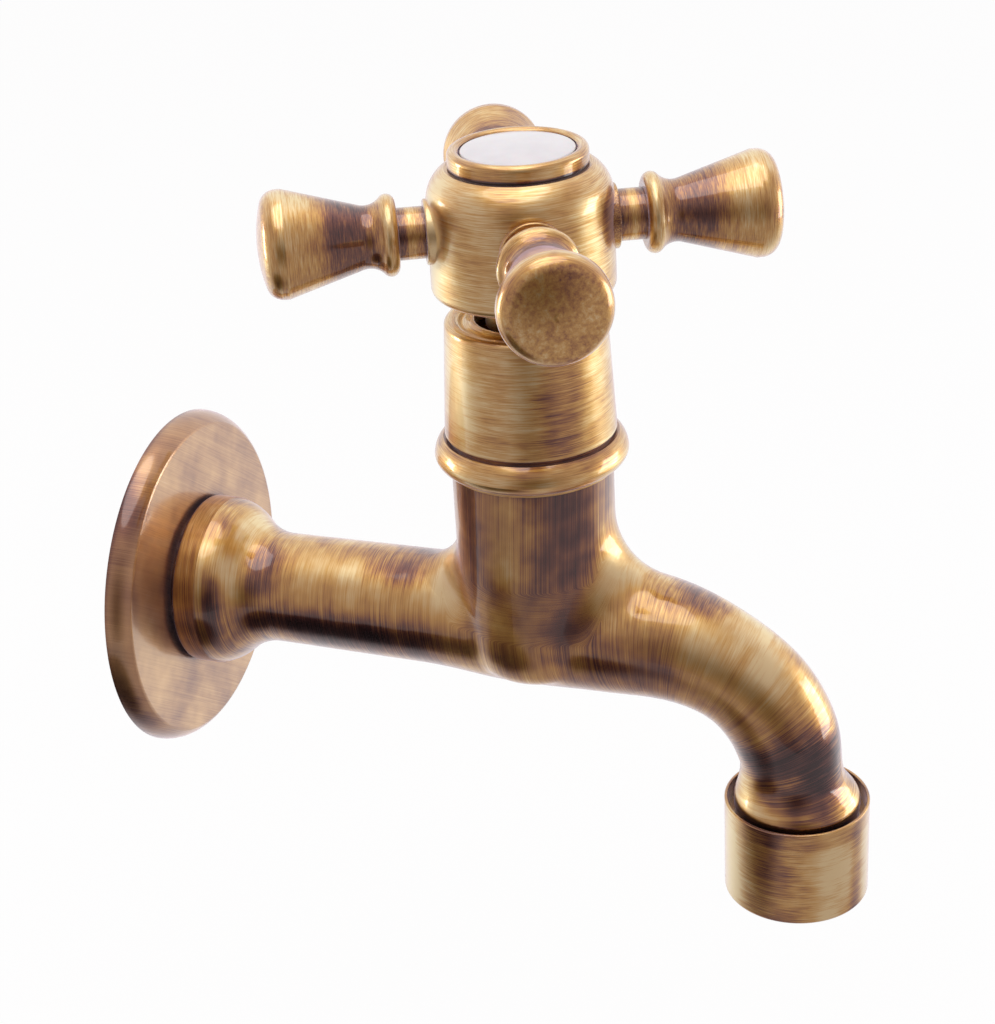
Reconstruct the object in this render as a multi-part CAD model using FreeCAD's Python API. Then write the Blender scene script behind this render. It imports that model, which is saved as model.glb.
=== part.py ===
import FreeCAD, Part
import math
import os
from FreeCAD import Placement, Rotation, Vector

# Wall-mounted basin tap with a cross handle, in millimetres.
# The wall is the plane y = 0. The tap stands out of it along -Y, with +Z up.
# The origin is on the inlet axis, where it meets the wall.
# Lengths along the arm and the spout are measured outwards from the wall.

# Fits between pieces, on the radius
THREAD_FIT = 0.05
RUNNING_FIT = 0.05
SLIP_FIT = 0.05

# Inlet shank with a G 1/2 thread
COLUMN_REACH = 71.4
INLET_THREAD_R = 10.4775
INLET_THREAD_LENGTH = 11.0
INLET_CHAMFER = 1.0
SHANK_RELIEF = 0.5
INLET_BORE_R = 6.25

# Wall rosette, a spun shell with a flat face
ROSETTE_R = 31.64
ROSETTE_FACE_R = 29.4
ROSETTE_DEPTH = 4.2
ROSETTE_RIM_BULGE = 0.6
ROSETTE_RIM_EDGE = 0.8
ROSETTE_PLAY = 0.3
ROSETTE_SHEET = 1.5
ROSETTE_FOOT = 1.6

# Flare of the body, which stands off the rosette on a smaller neck
FLARE_R = 15.8
FLARE_GAP = 0.8
FLARE_UNDERCUT = 1.3
FLARE_EDGE = 0.4
FLARE_BAND = 4.4
FLARE_SHOULDER = 12.0
FLARE_CREASE = 12.0

# Arm and belly
ARM_R = 10.2
ARM_SWELL_R = 10.5
ARM_SWELL_RUN = 21.4
BELLY_R = 11.7
BELLY_RUN = 2.4

# Column of the body
NECK_R = 14.17
NECK_TOP = 31.8
SPIGOT_STEP = 0.97
SPIGOT_HEIGHT = 2.2
BOWL_TOP = 3.0
BOWL_WAIST = -4.5
BOWL_BOTTOM = -9.6
BOWL_FLAT_R = 9.5
ARM_BLEND = 8.0
SPOUT_BLEND = 13.0
SIDE_BLEND = 6.5
# Shares of these radii that are tried in turn, until the blended skin is sound.
BLEND_SHARES = (1.0, 0.99, 0.98, 0.97, 0.96, 0.95, 0.93, 0.9)

# Spout, with lengths from the column's axis
SPOUT_OVERHANG = 47.5
SPOUT_ROOT_R = 11.4
SPOUT_ROOT_RUN = 14.6
SPOUT_THROAT_R = 9.55
SPOUT_TAPER_RUN = 40.6
SPOUT_THROAT_RUN = 44.6
SPOUT_TIP_R = 9.2
FIRST_BEND_R = 36.0
FIRST_BEND_TURN = 30.5
SECOND_BEND_R = 22.0
OUTLET_OFFSET = 1.0
OUTLET_FLARE_LENGTH = 6.0
OUTLET_BAND = 0.8
OUTLET_CHAMFER = 0.5

# Waterway inside the body
SEAT_LEVEL = 8.5
SEAT_MARGIN = 0.3
CHAMBER_STEP = 0.4
DROP_BORE_R = 4.5
DROP_START_INSET = 1.4
DROP_START_RISE = 8.0
DROP_END_RUN = 4.0
SPOUT_BORE_R = 6.0
SPOUT_BORE_START = 17.5
BORE_END_EDGE = 2.0

# Headwork with ceramic discs
SPIGOT_WALL = 2.75
CAGE_GAP = 1.0
CAGE_WALL = 0.95
CAGE_FOOT = 1.4
WINDOW_WIDTH = 9.0
WINDOW_HEIGHT = 6.8
WINDOW_SILL = 0.4
SEAL_THICKNESS = 2.5
SEAL_EDGE = 0.3
DISC_THICKNESS = 3.2
DISC_GAP = 0.05
DISC_PLAY = 0.3
PORT_MARGIN = 2.8
PORT_INNER_R = 1.8
PORT_ANGLE = 80.0
SEAL_MARGIN = 0.1
EAR_WIDTH = 3.0
EAR_REACH = 0.85
EAR_ROOT = 0.5
OUTFLOW_HEIGHT = 4.0
THREAD_RELIEF = 1.0
THREAD_RELIEF_DEPTH = 0.6
THREAD_LEAD = 1.0
HEADWORK_GASKET = 1.0
GASKET_MARGIN = 0.2
HEX_MARGIN = 0.7
HEX_FLAT_CUT = 1.5
HEX_HEIGHT = 6.0
BONNET_THREAD_STEP = 1.6
BONNET_THREAD_LENGTH = 5.0
NOSE_WALL = 2.8
NOSE_CHAMFER = 0.6

# Spindle
SPINDLE_R = 4.95
FOOT_PLAY = 0.6
FOOT_THICKNESS = 2.0
FORK_WIDTH = 4.4
FORK_MARGIN = 0.2
FORK_DEPTH = 1.9
NOTCH_FIT = 0.1
WASHER_THICKNESS = 0.8
O_RING_SECTION_R = 0.6
O_RING_GROOVE_WIDTH = 1.6
O_RING_RISE = 13.0
O_RING_PITCH = 6.0
CLIP_THICKNESS = 1.0
CLIP_REACH = 1.25
CLIP_GROOVE_DEPTH = 0.75
CLIP_OPENING = 5.0
SPINDLE_SHOULDER = 1.6
SPLINE_STEP = 1.0
SPLINE_DEPTH = 0.4
SPLINE_TEETH = 20
SPLINE_RUNOUT = 0.95
HANDLE_THREAD_DEPTH = 12.0

# Collar ring and bonnet
COLLAR_HEIGHT = 6.4
COLLAR_FOOT_STEP = 0.83
COLLAR_LIP = 0.5
COLLAR_BEAD = 2.78
COLLAR_CREST_RISE = 2.5
COLLAR_LOWER_BULGE = 0.45
COLLAR_UPPER_BULGE = 0.38
COLLAR_GROOVE = 0.6
COLLAR_GROOVE_DEPTH = 0.5
COLLAR_SHOULDER = 0.3
BONNET_ROOM = 0.9
BONNET_WALL = 1.6
BONNET_HEIGHT = 20.9
BONNET_TAPER = 1.1
BONNET_EDGE = 1.1
BONNET_FOOT_EDGE = 0.3
BONNET_HOLE_GAP = 1.95
BONNET_LIP = 0.7
BONNET_LIP_EDGE = 0.3
BONNET_TROUGH = 0.8

# Handle hub
HUB_R = 15.64
HUB_HEIGHT = 21.6
HUB_GAP = 4.9
HUB_FOOT_STEP = 1.34
HUB_FOOT_HEIGHT = 1.3
HUB_FOOT_BULGE = 0.4
HUB_SHOULDER_DEPTH = 5.6
HUB_SHOULDER_STEP = 3.34
HUB_SHOULDER_BULGE = 0.92
HUB_BOSS_WALL = 2.85
HUB_BOSS_DEPTH = 6.4
HUB_BOSS_EDGE = 0.4
SCREW_WEB = 3.0
COUNTERBORE_DEPTH = 5.4
RECESS_WALL = 1.45
RECESS_DEPTH = 4.2
ARM_RISE = 11.26
ARM_BOSS_R = 5.5
ARM_BOSS_STAND = 0.51
ARM_BOSS_EDGE = 0.3

# Handle arms, with lengths outwards from the seat on the hub
ARM_NAMES = ("front", "right", "back", "left")
FIRST_ARM_ANGLE = -153.5
STUD_R = 3.0
STUD_LENGTH = 6.95
STUD_HOLE_CLEARANCE = 0.3
STEM_R = 4.36
STEM_LENGTH = 4.55
BEAD_R = 6.85
BEAD_SECTION_R = 1.45
BEAD_WRAP = 145.0
CONE_START = 10.35
CONE_START_R = 5.3
CONE_COVE = 0.41
CONE_LENGTH = 12.8
CONE_END_R = 9.1
TIP_EDGE = 2.9
TIP_DOME = 1.7

# Handle screw and index
SCREW_R = 2.0
SCREW_LENGTH = 9.0
SCREW_HOLE_GAP = 0.6
SCREW_HEAD_R = 4.2
SCREW_HEAD_HEIGHT = 2.6
SCREW_HEAD_EDGE = 0.5
SCREW_HEAD_GAP = 0.8
SCREW_SOCKET = 3.0
SCREW_SOCKET_DEPTH = 1.6
BEZEL_INSET = 0.55
BEZEL_WIDTH = 1.9
BEZEL_HEIGHT = 3.1
BEZEL_INNER_DROP = 0.5
BEZEL_OUTER_DROP = 1.0
BEZEL_BULGE = 0.72
BEZEL_UNDERCUT = 0.35
BEZEL_SKIRT = 3.6
BEZEL_SKIRT_WALL = 1.2
BEZEL_FLOOR = 1.0
INDEX_GAP = 0.25
INDEX_SEAT = 0.4
INDEX_EDGE_HEIGHT = 2.3
INDEX_EDGE = 0.3
INDEX_CROWN = 0.5
INDEX_O_RING_R = 0.6
INDEX_O_RING_DROP = 2.2

# Aerator
SLEEVE_R = 13.0
SLEEVE_HEIGHT = 19.0
SLEEVE_RISE = 0.34
SLEEVE_EDGE = 0.6
SLEEVE_RIM_WALL = 0.6
SLEEVE_RIM_EDGE = 0.25
SLEEVE_RIM_DEPTH = 3.4
SLEEVE_MOUTH_GAP = 1.1
SLEEVE_WALL = 2.0
SLEEVE_THREAD_RUNOUT = 1.2
SLEEVE_LEDGE = 0.5
SLEEVE_LIP = 1.2
SLEEVE_LIP_REACH = 0.9
OUTLET_WASHER = 2.0
WASHER_MARGIN = 0.4
CARTRIDGE_HEIGHT = 6.0
CARTRIDGE_WALL = 1.3
CARTRIDGE_LEDGE = 1.0
CARTRIDGE_LEDGE_REACH = 0.9
SCREEN_THICKNESS = 0.6
SCREEN_CELL = 1.5
SCREEN_PITCH = 2.3
CELL_MARGIN = 0.2

# Radii of the inlet and the column that follow from the sizes above
SHANK_R = INLET_THREAD_R - SHANK_RELIEF
ROSETTE_HOLE_R = INLET_THREAD_R + ROSETTE_PLAY
SPIGOT_R = NECK_R - SPIGOT_STEP
HEADWORK_THREAD_R = SPIGOT_R - SPIGOT_WALL - THREAD_FIT
THREAD_RELIEF_R = HEADWORK_THREAD_R - THREAD_RELIEF_DEPTH
GASKET_BORE_R = HEADWORK_THREAD_R + GASKET_MARGIN
GASKET_R = SPIGOT_R - GASKET_MARGIN
CHAMBER_R = HEADWORK_THREAD_R - CHAMBER_STEP
CAGE_R = CHAMBER_R - CAGE_GAP
CAGE_BORE_R = CAGE_R - CAGE_WALL
DISC_R = CAGE_BORE_R - SLIP_FIT
SEAL_R = DISC_R - SLIP_FIT
PORT_OUTER_R = DISC_R - PORT_MARGIN
SEAL_BORE_R = PORT_OUTER_R + SEAL_MARGIN
SEAT_BORE_R = SEAL_BORE_R - SEAT_MARGIN
FORK_INNER_R = PORT_OUTER_R + FORK_MARGIN
FOOT_R = DISC_R - FOOT_PLAY
SPINDLE_BORE_R = SPINDLE_R + RUNNING_FIT
O_RING_CENTRE_R = SPINDLE_R - O_RING_SECTION_R
NOSE_R = SPINDLE_BORE_R + NOSE_WALL
CLIP_R = SPINDLE_R + CLIP_REACH
CLIP_GROOVE_R = SPINDLE_R - CLIP_GROOVE_DEPTH
SPLINE_R = SPINDLE_R - SPLINE_STEP
SPLINE_ROOT_R = SPLINE_R - SPLINE_DEPTH
HEX_TURNED_R = SPIGOT_R - HEX_MARGIN
HEX_ACROSS_FLATS = 2 * (HEX_TURNED_R - HEX_FLAT_CUT)
BONNET_THREAD_R = HEX_TURNED_R - BONNET_THREAD_STEP
BONNET_R = HEX_TURNED_R + BONNET_ROOM + BONNET_WALL
BONNET_TOP_R = BONNET_R - BONNET_TAPER
COLLAR_BORE_R = SPIGOT_R + SLIP_FIT
COLLAR_FOOT_R = NECK_R + COLLAR_FOOT_STEP
COLLAR_R = NECK_R + COLLAR_BEAD

# Radii of the handle and the index
HUB_BOSS_R = SPLINE_R + HUB_BOSS_WALL
BONNET_HOLE_R = HUB_BOSS_R + BONNET_HOLE_GAP
HUB_FOOT_R = HUB_R - HUB_FOOT_STEP
HUB_TOP_R = HUB_R - HUB_SHOULDER_STEP
RECESS_R = HUB_TOP_R - RECESS_WALL
COUNTERBORE_R = SCREW_HEAD_R + SCREW_HEAD_GAP
SCREW_HOLE_R = SCREW_R + SCREW_HOLE_GAP
HANDLE_THREAD_R = SCREW_R + THREAD_FIT
ARM_SEAT = HUB_R + ARM_BOSS_STAND
BEZEL_R = HUB_TOP_R - BEZEL_INSET
BEZEL_LIP_R = BEZEL_R - BEZEL_WIDTH
BEZEL_SKIRT_R = RECESS_R - SLIP_FIT
INDEX_O_RING_CENTRE_R = BEZEL_SKIRT_R - INDEX_O_RING_R
INDEX_R = BEZEL_LIP_R - INDEX_GAP

# Radii of the outlet and the aerator
SLEEVE_MOUTH_R = SLEEVE_R - SLEEVE_RIM_WALL
OUTLET_FLARE_R = SLEEVE_MOUTH_R - SLEEVE_MOUTH_GAP
OUTLET_THREAD_R = SLEEVE_R - SLEEVE_WALL
CARTRIDGE_R = OUTLET_THREAD_R - SLEEVE_LEDGE
CARTRIDGE_BORE_R = CARTRIDGE_R - CARTRIDGE_WALL
CARTRIDGE_LEDGE_R = CARTRIDGE_BORE_R - CARTRIDGE_LEDGE_REACH
SCREEN_R = CARTRIDGE_BORE_R - SLIP_FIT
SLEEVE_LIP_R = CARTRIDGE_R - SLEEVE_LIP_REACH
WASHER_BORE_R = SPOUT_BORE_R + WASHER_MARGIN

# Lengths along the arm and the spout
FLARE_START = ROSETTE_DEPTH + FLARE_GAP
FLARE_BAND_END = FLARE_START + FLARE_BAND
FLARE_END = FLARE_BAND_END + FLARE_SHOULDER
SWELL_START = COLUMN_REACH - ARM_SWELL_RUN
BELLY_START = COLUMN_REACH - BELLY_RUN
SPOUT_ROOT_END = COLUMN_REACH + SPOUT_ROOT_RUN
SPOUT_TAPER_END = COLUMN_REACH + SPOUT_TAPER_RUN
SPOUT_THROAT_END = COLUMN_REACH + SPOUT_THROAT_RUN
SPOUT_REACH = COLUMN_REACH + SPOUT_OVERHANG
SPOUT_AXIS = SPOUT_REACH - OUTLET_OFFSET
FIRST_TURN = math.radians(FIRST_BEND_TURN)
BEND_START = SPOUT_AXIS - FIRST_BEND_R * math.sin(FIRST_TURN) - SECOND_BEND_R * (1 - math.sin(FIRST_TURN))
BEND_MIDDLE = BEND_START + FIRST_BEND_R * FIRST_TURN
BEND_END = BEND_MIDDLE + SECOND_BEND_R * (math.pi / 2 - FIRST_TURN)

# Heights of the spout's end and the aerator
BEND_DROP = FIRST_BEND_R * (1 - math.cos(FIRST_TURN)) + SECOND_BEND_R * math.cos(FIRST_TURN)
OUTLET_BAND_TOP = -BEND_DROP - OUTLET_FLARE_LENGTH
SLEEVE_TOP = OUTLET_BAND_TOP + SLEEVE_RISE
SLEEVE_BOTTOM = SLEEVE_TOP - SLEEVE_HEIGHT
CARTRIDGE_BOTTOM = SLEEVE_BOTTOM + SLEEVE_LIP
CARTRIDGE_TOP = CARTRIDGE_BOTTOM + CARTRIDGE_HEIGHT
SCREEN_BOTTOM = CARTRIDGE_BOTTOM + CARTRIDGE_LEDGE
SCREEN_TOP = SCREEN_BOTTOM + SCREEN_THICKNESS
OUTLET_END = CARTRIDGE_TOP + OUTLET_WASHER

# Heights of the headwork, from the seat up
SPIGOT_TOP = NECK_TOP + SPIGOT_HEIGHT
FIXED_DISC_BOTTOM = SEAT_LEVEL + SEAL_THICKNESS
FIXED_DISC_TOP = FIXED_DISC_BOTTOM + DISC_THICKNESS
MOVING_DISC_BOTTOM = FIXED_DISC_TOP + DISC_GAP
MOVING_DISC_TOP = MOVING_DISC_BOTTOM + DISC_THICKNESS
FOOT_BOTTOM = MOVING_DISC_TOP + OUTFLOW_HEIGHT
FOOT_TOP = FOOT_BOTTOM + FOOT_THICKNESS
CAGE_CEILING = FOOT_TOP + WASHER_THICKNESS + RUNNING_FIT
HEX_BOTTOM = SPIGOT_TOP + HEADWORK_GASKET
HEX_TOP = HEX_BOTTOM + HEX_HEIGHT
BONNET_THREAD_TOP = HEX_TOP + BONNET_THREAD_LENGTH

# Heights of the trim and the handle, from the collar up
COLLAR_TOP = NECK_TOP + COLLAR_HEIGHT
BONNET_TOP = COLLAR_TOP + BONNET_HEIGHT
HUB_UNDERSIDE = BONNET_TOP + HUB_GAP
HUB_TOP = HUB_UNDERSIDE + HUB_HEIGHT
HUB_SHOULDER = HUB_TOP - HUB_SHOULDER_DEPTH
BOSS_BOTTOM = HUB_UNDERSIDE - HUB_BOSS_DEPTH
ARM_HEIGHT = HUB_UNDERSIDE + ARM_RISE
RECESS_FLOOR = HUB_TOP - RECESS_DEPTH
SCREW_SEAT = RECESS_FLOOR - COUNTERBORE_DEPTH
SPINDLE_TOP = SCREW_SEAT - SCREW_WEB
SPLINE_BOTTOM = BOSS_BOTTOM - SPLINE_RUNOUT
CLIP_TOP = SPLINE_BOTTOM - SPINDLE_SHOULDER
CLIP_BOTTOM = CLIP_TOP - CLIP_THICKNESS
HEADWORK_TOP = CLIP_BOTTOM - RUNNING_FIT
BEZEL_TOP = HUB_TOP + BEZEL_HEIGHT
INDEX_BOTTOM = HUB_TOP + INDEX_SEAT


class Outline:
    """An outline in the (r, z) half plane, closed and turned about the Z axis."""

    def __init__(self, r, z):
        self.first = (r, z)
        self.last = (r, z)
        self.edges = []

    def line(self, r, z):
        ends = [Vector(self.last[0], 0, self.last[1]), Vector(r, 0, z)]
        self.edges.append(Part.LineSegment(*ends).toShape())
        self.last = (r, z)
        return self

    def arc(self, r, z, bulge):
        """Arc whose middle lies a bulge to the right of the straight way to its end."""
        step = r - self.last[0]
        rise = z - self.last[1]
        reach = math.hypot(step, rise)
        middle_r = self.last[0] + step / 2 + bulge * rise / reach
        middle_z = self.last[1] + rise / 2 - bulge * step / reach
        points = [self.last, (middle_r, middle_z), (r, z)]
        self.edges.append(Part.Arc(*[Vector(a, 0, b) for a, b in points]).toShape())
        self.last = (r, z)
        return self

    def shoulder(self, r, z, lean):
        """Two equal arcs up and inwards, full and then hollow, that set off at a lean and end upright."""
        step = self.last[0] - r
        rise = z - self.last[1]
        first = math.radians(lean)
        share = (rise * (1 + math.cos(first)) + step * math.sin(first)) / 2 / math.hypot(step, rise)
        steepest = math.atan2(step, rise) + math.acos(share)
        radius = rise / (2 * math.sin(steepest) - math.sin(first))
        middle_r = self.last[0] - radius * (math.cos(first) - math.cos(steepest))
        middle_z = self.last[1] + radius * (math.sin(steepest) - math.sin(first))
        self.arc(middle_r, middle_z, radius * (1 - math.cos((steepest - first) / 2)))
        return self.arc(r, z, -radius * (1 - math.cos(steepest / 2)))

    def dome(self, height):
        """Shallow cap from the last point, the rim, to the axis."""
        rim_r, z = self.last
        radius = (rim_r ** 2 + height ** 2) / 2 / height
        return self.arc(0, z + height, radius * (1 - math.cos(math.asin(rim_r / radius) / 2)))

    def curve(self, poles):
        """Smooth cubic curve from the last point, guided by the given points."""
        points = [Vector(r, 0, z) for r, z in [self.last] + poles]
        spans = len(points) - 3
        knots = list(range(spans + 1))
        repeats = [4] + [1] * (spans - 1) + [4]
        spline = Part.BSplineCurve()
        spline.buildFromPolesMultsKnots(points, repeats, knots, False, 3)
        self.edges.append(spline.toShape())
        self.last = poles[-1]
        return self

    def turned(self, angle=360):
        if self.last != self.first:
            self.line(*self.first)
        face = Part.Face(Part.Wire(Part.__sortEdges__(self.edges)))
        return face.revolve(Vector(0, 0, 0), Vector(0, 0, 1), angle)


def rounded(shape, radius, *rims):
    """Round the circular edges whose radius and height are given as (r, z) pairs."""
    edges = [edge for edge in shape.Edges if is_rim(edge, rims)]
    return shape.makeFillet(radius, edges)


def is_rim(edge, rims):
    if edge.Degenerated or not edge.isClosed() or not isinstance(edge.Curve, Part.Circle):
        return False
    circle = edge.Curve
    return any(abs(circle.Radius - r) < 1e-4 and abs(circle.Center.z - z) < 1e-4 for r, z in rims)


def cylinder(radius, bottom, top):
    return Part.makeCylinder(radius, top - bottom, Vector(0, 0, bottom))


def tube(outer, inner, bottom, top):
    return cylinder(outer, bottom, top).cut(cylinder(inner, bottom, top))


def slab(width, depth, bottom, top, centre=(0, 0)):
    corner = Vector(centre[0] - width / 2, centre[1] - depth / 2, bottom)
    return Part.makeBox(width, depth, top - bottom, corner)


def hexagon(across_flats, bottom, top):
    radius = across_flats / 2 / math.cos(math.pi / 6)
    corners = [Vector(radius * math.cos(a), radius * math.sin(a), bottom)
               for a in (math.radians(60 * k) for k in range(6))]
    return Part.Face(Part.makePolygon(corners + corners[:1])).extrude(Vector(0, 0, top - bottom))


def turned_about(shape, angle):
    """A copy of the shape, turned about the Z axis."""
    copy = shape.copy()
    copy.rotate(Vector(0, 0, 0), Vector(0, 0, 1), angle)
    return copy


def from_wall(shape):
    """Lay a shape that was turned about Z along the inlet axis, away from the wall."""
    copy = turned_about(shape, 90)
    copy.rotate(Vector(0, 0, 0), Vector(1, 0, 0), 90)
    return copy


def on_column(shape):
    return shape.translated(Vector(0, -COLUMN_REACH, 0))


def on_outlet(shape):
    return shape.translated(Vector(0, -SPOUT_REACH, 0))


def ease(start, end, value):
    """Smooth step from 0 to 1 between start and end."""
    share = min(max((value - start) / (end - start), 0), 1)
    return (1 - math.cos(math.pi * share)) / 2


def centre_line(length):
    """Point (y, z) and downward turn of the arm and spout axis at a length from the wall."""
    if length <= BEND_START:
        return -length, 0.0, 0.0
    if length <= BEND_MIDDLE:
        turn = (length - BEND_START) / FIRST_BEND_R
        y = BEND_START + FIRST_BEND_R * math.sin(turn)
        return -y, -FIRST_BEND_R * (1 - math.cos(turn)), turn
    turn = FIRST_TURN + (length - BEND_MIDDLE) / SECOND_BEND_R
    y = SPOUT_AXIS - SECOND_BEND_R * (1 - math.sin(turn))
    return -y, SECOND_BEND_R * math.cos(turn) - BEND_DROP, turn


def outer_radius(length):
    """Outer radius of the arm, the belly and the spout at a length from the wall."""
    widening = min((length - FLARE_END) / (SWELL_START - FLARE_END), 1)
    radius = ARM_R + (ARM_SWELL_R - ARM_R) * widening
    radius += (BELLY_R - ARM_SWELL_R) * ease(SWELL_START, BELLY_START, length)
    radius -= (BELLY_R - SPOUT_ROOT_R) * ease(COLUMN_REACH, SPOUT_ROOT_END, length)
    radius -= (SPOUT_ROOT_R - SPOUT_THROAT_R) * ease(SPOUT_ROOT_END, SPOUT_TAPER_END, length)
    radius -= (SPOUT_THROAT_R - SPOUT_TIP_R) * ease(SPOUT_THROAT_END, BEND_END, length)
    return radius


def ring(y, z, turn, radius):
    """Circle across the axis, with its seam on the side that is the top of the arm."""
    wire = Part.Wire(Part.makeCircle(radius))
    lean = Rotation(Vector(1, 0, 0), 90 + math.degrees(turn))
    wire.Placement = Placement(Vector(0, y, z), lean.multiply(Rotation(Vector(0, 0, 1), 90)))
    return wire


def along_axis(start, end, count, radius):
    """Rings along the axis, with the radius as a function of the length."""
    lengths = [start + (end - start) * k / count for k in range(count + 1)]
    return [ring(*centre_line(length), radius(length)) for length in lengths]


def arm_and_spout():
    """One smooth skin from the flare, through the belly, round the bend to the outlet's flare."""
    rings = along_axis(FLARE_END, BEND_END, 22, outer_radius)
    steps = 3
    for k in range(1, steps + 1):
        share = ease(0, steps, k)
        y = -(SPOUT_AXIS + OUTLET_OFFSET * share)
        z = -BEND_DROP - OUTLET_FLARE_LENGTH * k / steps
        rings.append(ring(y, z, math.pi / 2, SPOUT_TIP_R + (OUTLET_FLARE_R - SPOUT_TIP_R) * share))
    return Part.makeLoft(rings, True, False)


def column_halves():
    """Two halves of the column, with a bowl below that rounds it into the belly."""
    outline = Outline(NECK_R, NECK_TOP)
    straight = [(NECK_R, BOWL_TOP + (NECK_TOP - BOWL_TOP) * share) for share in (0.66, 0.33, 0)]
    outline.curve(straight + [(NECK_R, BOWL_WAIST), (BOWL_FLAT_R, BOWL_BOTTOM), (0, BOWL_BOTTOM)])
    outline.line(0, NECK_TOP)
    half = outline.turned(180)
    return [on_column(half), on_column(turned_about(half, 180))]


def blend_radius(point):
    """Radius of the blend between the column and the arm or spout at a point of their seam."""
    if point.z < BOWL_TOP:
        return SIDE_BLEND
    return SPOUT_BLEND if point.y < -COLUMN_REACH else ARM_BLEND


def on_seam(edge):
    """True for the edges where the column's wall or bowl meets the arm and spout."""
    point = edge.valueAt((edge.FirstParameter + edge.LastParameter) / 2)
    near = math.hypot(point.x, point.y + COLUMN_REACH) < NECK_R + THREAD_FIT
    crosses = abs(point.x) > THREAD_FIT and abs(point.y + COLUMN_REACH) > THREAD_FIT
    return near and crosses and BOWL_BOTTOM - 1 < point.z < NECK_TOP - SPOUT_BLEND


def blended(skin, share):
    """The skin with its seams blended, at a share of the blends' full radii."""
    document = FreeCAD.newDocument("casting")
    base = document.addObject("Part::Feature", "rough_casting")
    base.Shape = skin
    blend = document.addObject("Part::Fillet", "blends")
    blend.Base = base
    rows = []
    for index, edge in enumerate(base.Shape.Edges, 1):
        if on_seam(edge):
            ends = edge.Vertexes
            rows.append((index, share * blend_radius(ends[0].Point), share * blend_radius(ends[-1].Point)))
    blend.Edges = rows
    document.recompute()
    casting = blend.Shape.copy()
    FreeCAD.closeDocument(document.Name)
    return casting


def blended_casting():
    """Arm, spout and column in one skin, with the largest blends that its walls take."""
    skin = arm_and_spout().fuse(column_halves())
    for share in BLEND_SHARES:
        casting = blended(skin, share)
        if casting.isValid():
            break
    return casting


def inlet_end():
    """Inlet thread, plain shank and flare, turned along the inlet axis."""
    tip_r = INLET_THREAD_R - INLET_CHAMFER
    neck_r = FLARE_R - FLARE_UNDERCUT
    outline = Outline(0, -INLET_THREAD_LENGTH).line(tip_r, -INLET_THREAD_LENGTH)
    outline.line(INLET_THREAD_R, INLET_CHAMFER - INLET_THREAD_LENGTH).line(INLET_THREAD_R, 0)
    outline.line(SHANK_R, 0).line(SHANK_R, ROSETTE_DEPTH).line(neck_r, ROSETTE_DEPTH)
    outline.line(neck_r, FLARE_START).line(FLARE_R, FLARE_START).line(FLARE_R, FLARE_BAND_END)
    outline.shoulder(ARM_R, FLARE_END, FLARE_CREASE).line(0, FLARE_END)
    return from_wall(rounded(outline.turned(), FLARE_EDGE, (FLARE_R, FLARE_START)))


def outlet_end():
    """Band below the spout's flare and the thread that carries the aerator."""
    thread_top = OUTLET_BAND_TOP - OUTLET_BAND
    outline = Outline(0, OUTLET_BAND_TOP).line(OUTLET_FLARE_R, OUTLET_BAND_TOP)
    outline.line(OUTLET_FLARE_R, thread_top).line(OUTLET_THREAD_R, thread_top)
    outline.line(OUTLET_THREAD_R, OUTLET_END + OUTLET_CHAMFER)
    outline.line(OUTLET_THREAD_R - OUTLET_CHAMFER, OUTLET_END).line(0, OUTLET_END)
    return on_outlet(outline.turned())


def waterway():
    """The hollow that water takes: inlet bore, seat, headwork chamber, drop bore and spout bore."""
    outline = Outline(0, -INLET_THREAD_LENGTH).line(INLET_BORE_R, -INLET_THREAD_LENGTH)
    bore_end = COLUMN_REACH + INLET_BORE_R
    outline.line(INLET_BORE_R, bore_end).line(0, bore_end)
    inlet = from_wall(rounded(outline.turned(), BORE_END_EDGE, (INLET_BORE_R, bore_end)))
    seat = on_column(cylinder(SEAT_BORE_R, 0, SEAT_LEVEL))
    chamber = on_column(cylinder(CHAMBER_R, SEAT_LEVEL, SPIGOT_TOP))
    thread = on_column(cylinder(HEADWORK_THREAD_R + THREAD_FIT, CAGE_CEILING, SPIGOT_TOP))
    bore_start = COLUMN_REACH + SPOUT_BORE_START
    drop_start = Vector(0, DROP_START_INSET - COLUMN_REACH - CHAMBER_R, SEAT_LEVEL + DROP_START_RISE)
    drop_end = Vector(0, -bore_start - DROP_END_RUN, 0)
    fall = drop_end - drop_start
    drop = Part.makeCylinder(DROP_BORE_R, fall.Length, drop_start, fall)
    bore = Part.makeLoft(along_axis(bore_start, BEND_END, 14, lambda length: SPOUT_BORE_R), True, False)
    outlet = cylinder(SPOUT_BORE_R, OUTLET_END, -BEND_DROP).translated(Vector(0, -SPOUT_AXIS, 0))
    return inlet.fuse([seat, chamber, thread, drop, bore, outlet])


def tap_body():
    spigot = on_column(cylinder(SPIGOT_R, SEAT_LEVEL, SPIGOT_TOP))
    casting = blended_casting().fuse([inlet_end(), outlet_end(), spigot])
    return casting.cut(waterway())


def wall_rosette():
    """Spun shell whose foot rests on the wall and whose face is held by the body's flare."""
    inner_face = ROSETTE_DEPTH - ROSETTE_SHEET
    outline = Outline(ROSETTE_R - ROSETTE_FOOT, 0).line(ROSETTE_R, 0)
    outline.arc(ROSETTE_FACE_R, ROSETTE_DEPTH, ROSETTE_RIM_BULGE).line(ROSETTE_HOLE_R, ROSETTE_DEPTH)
    outline.line(ROSETTE_HOLE_R, inner_face).line(ROSETTE_FACE_R - ROSETTE_SHEET, inner_face)
    return from_wall(rounded(outline.turned(), ROSETTE_RIM_EDGE, (ROSETTE_FACE_R, ROSETTE_DEPTH)))


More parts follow.
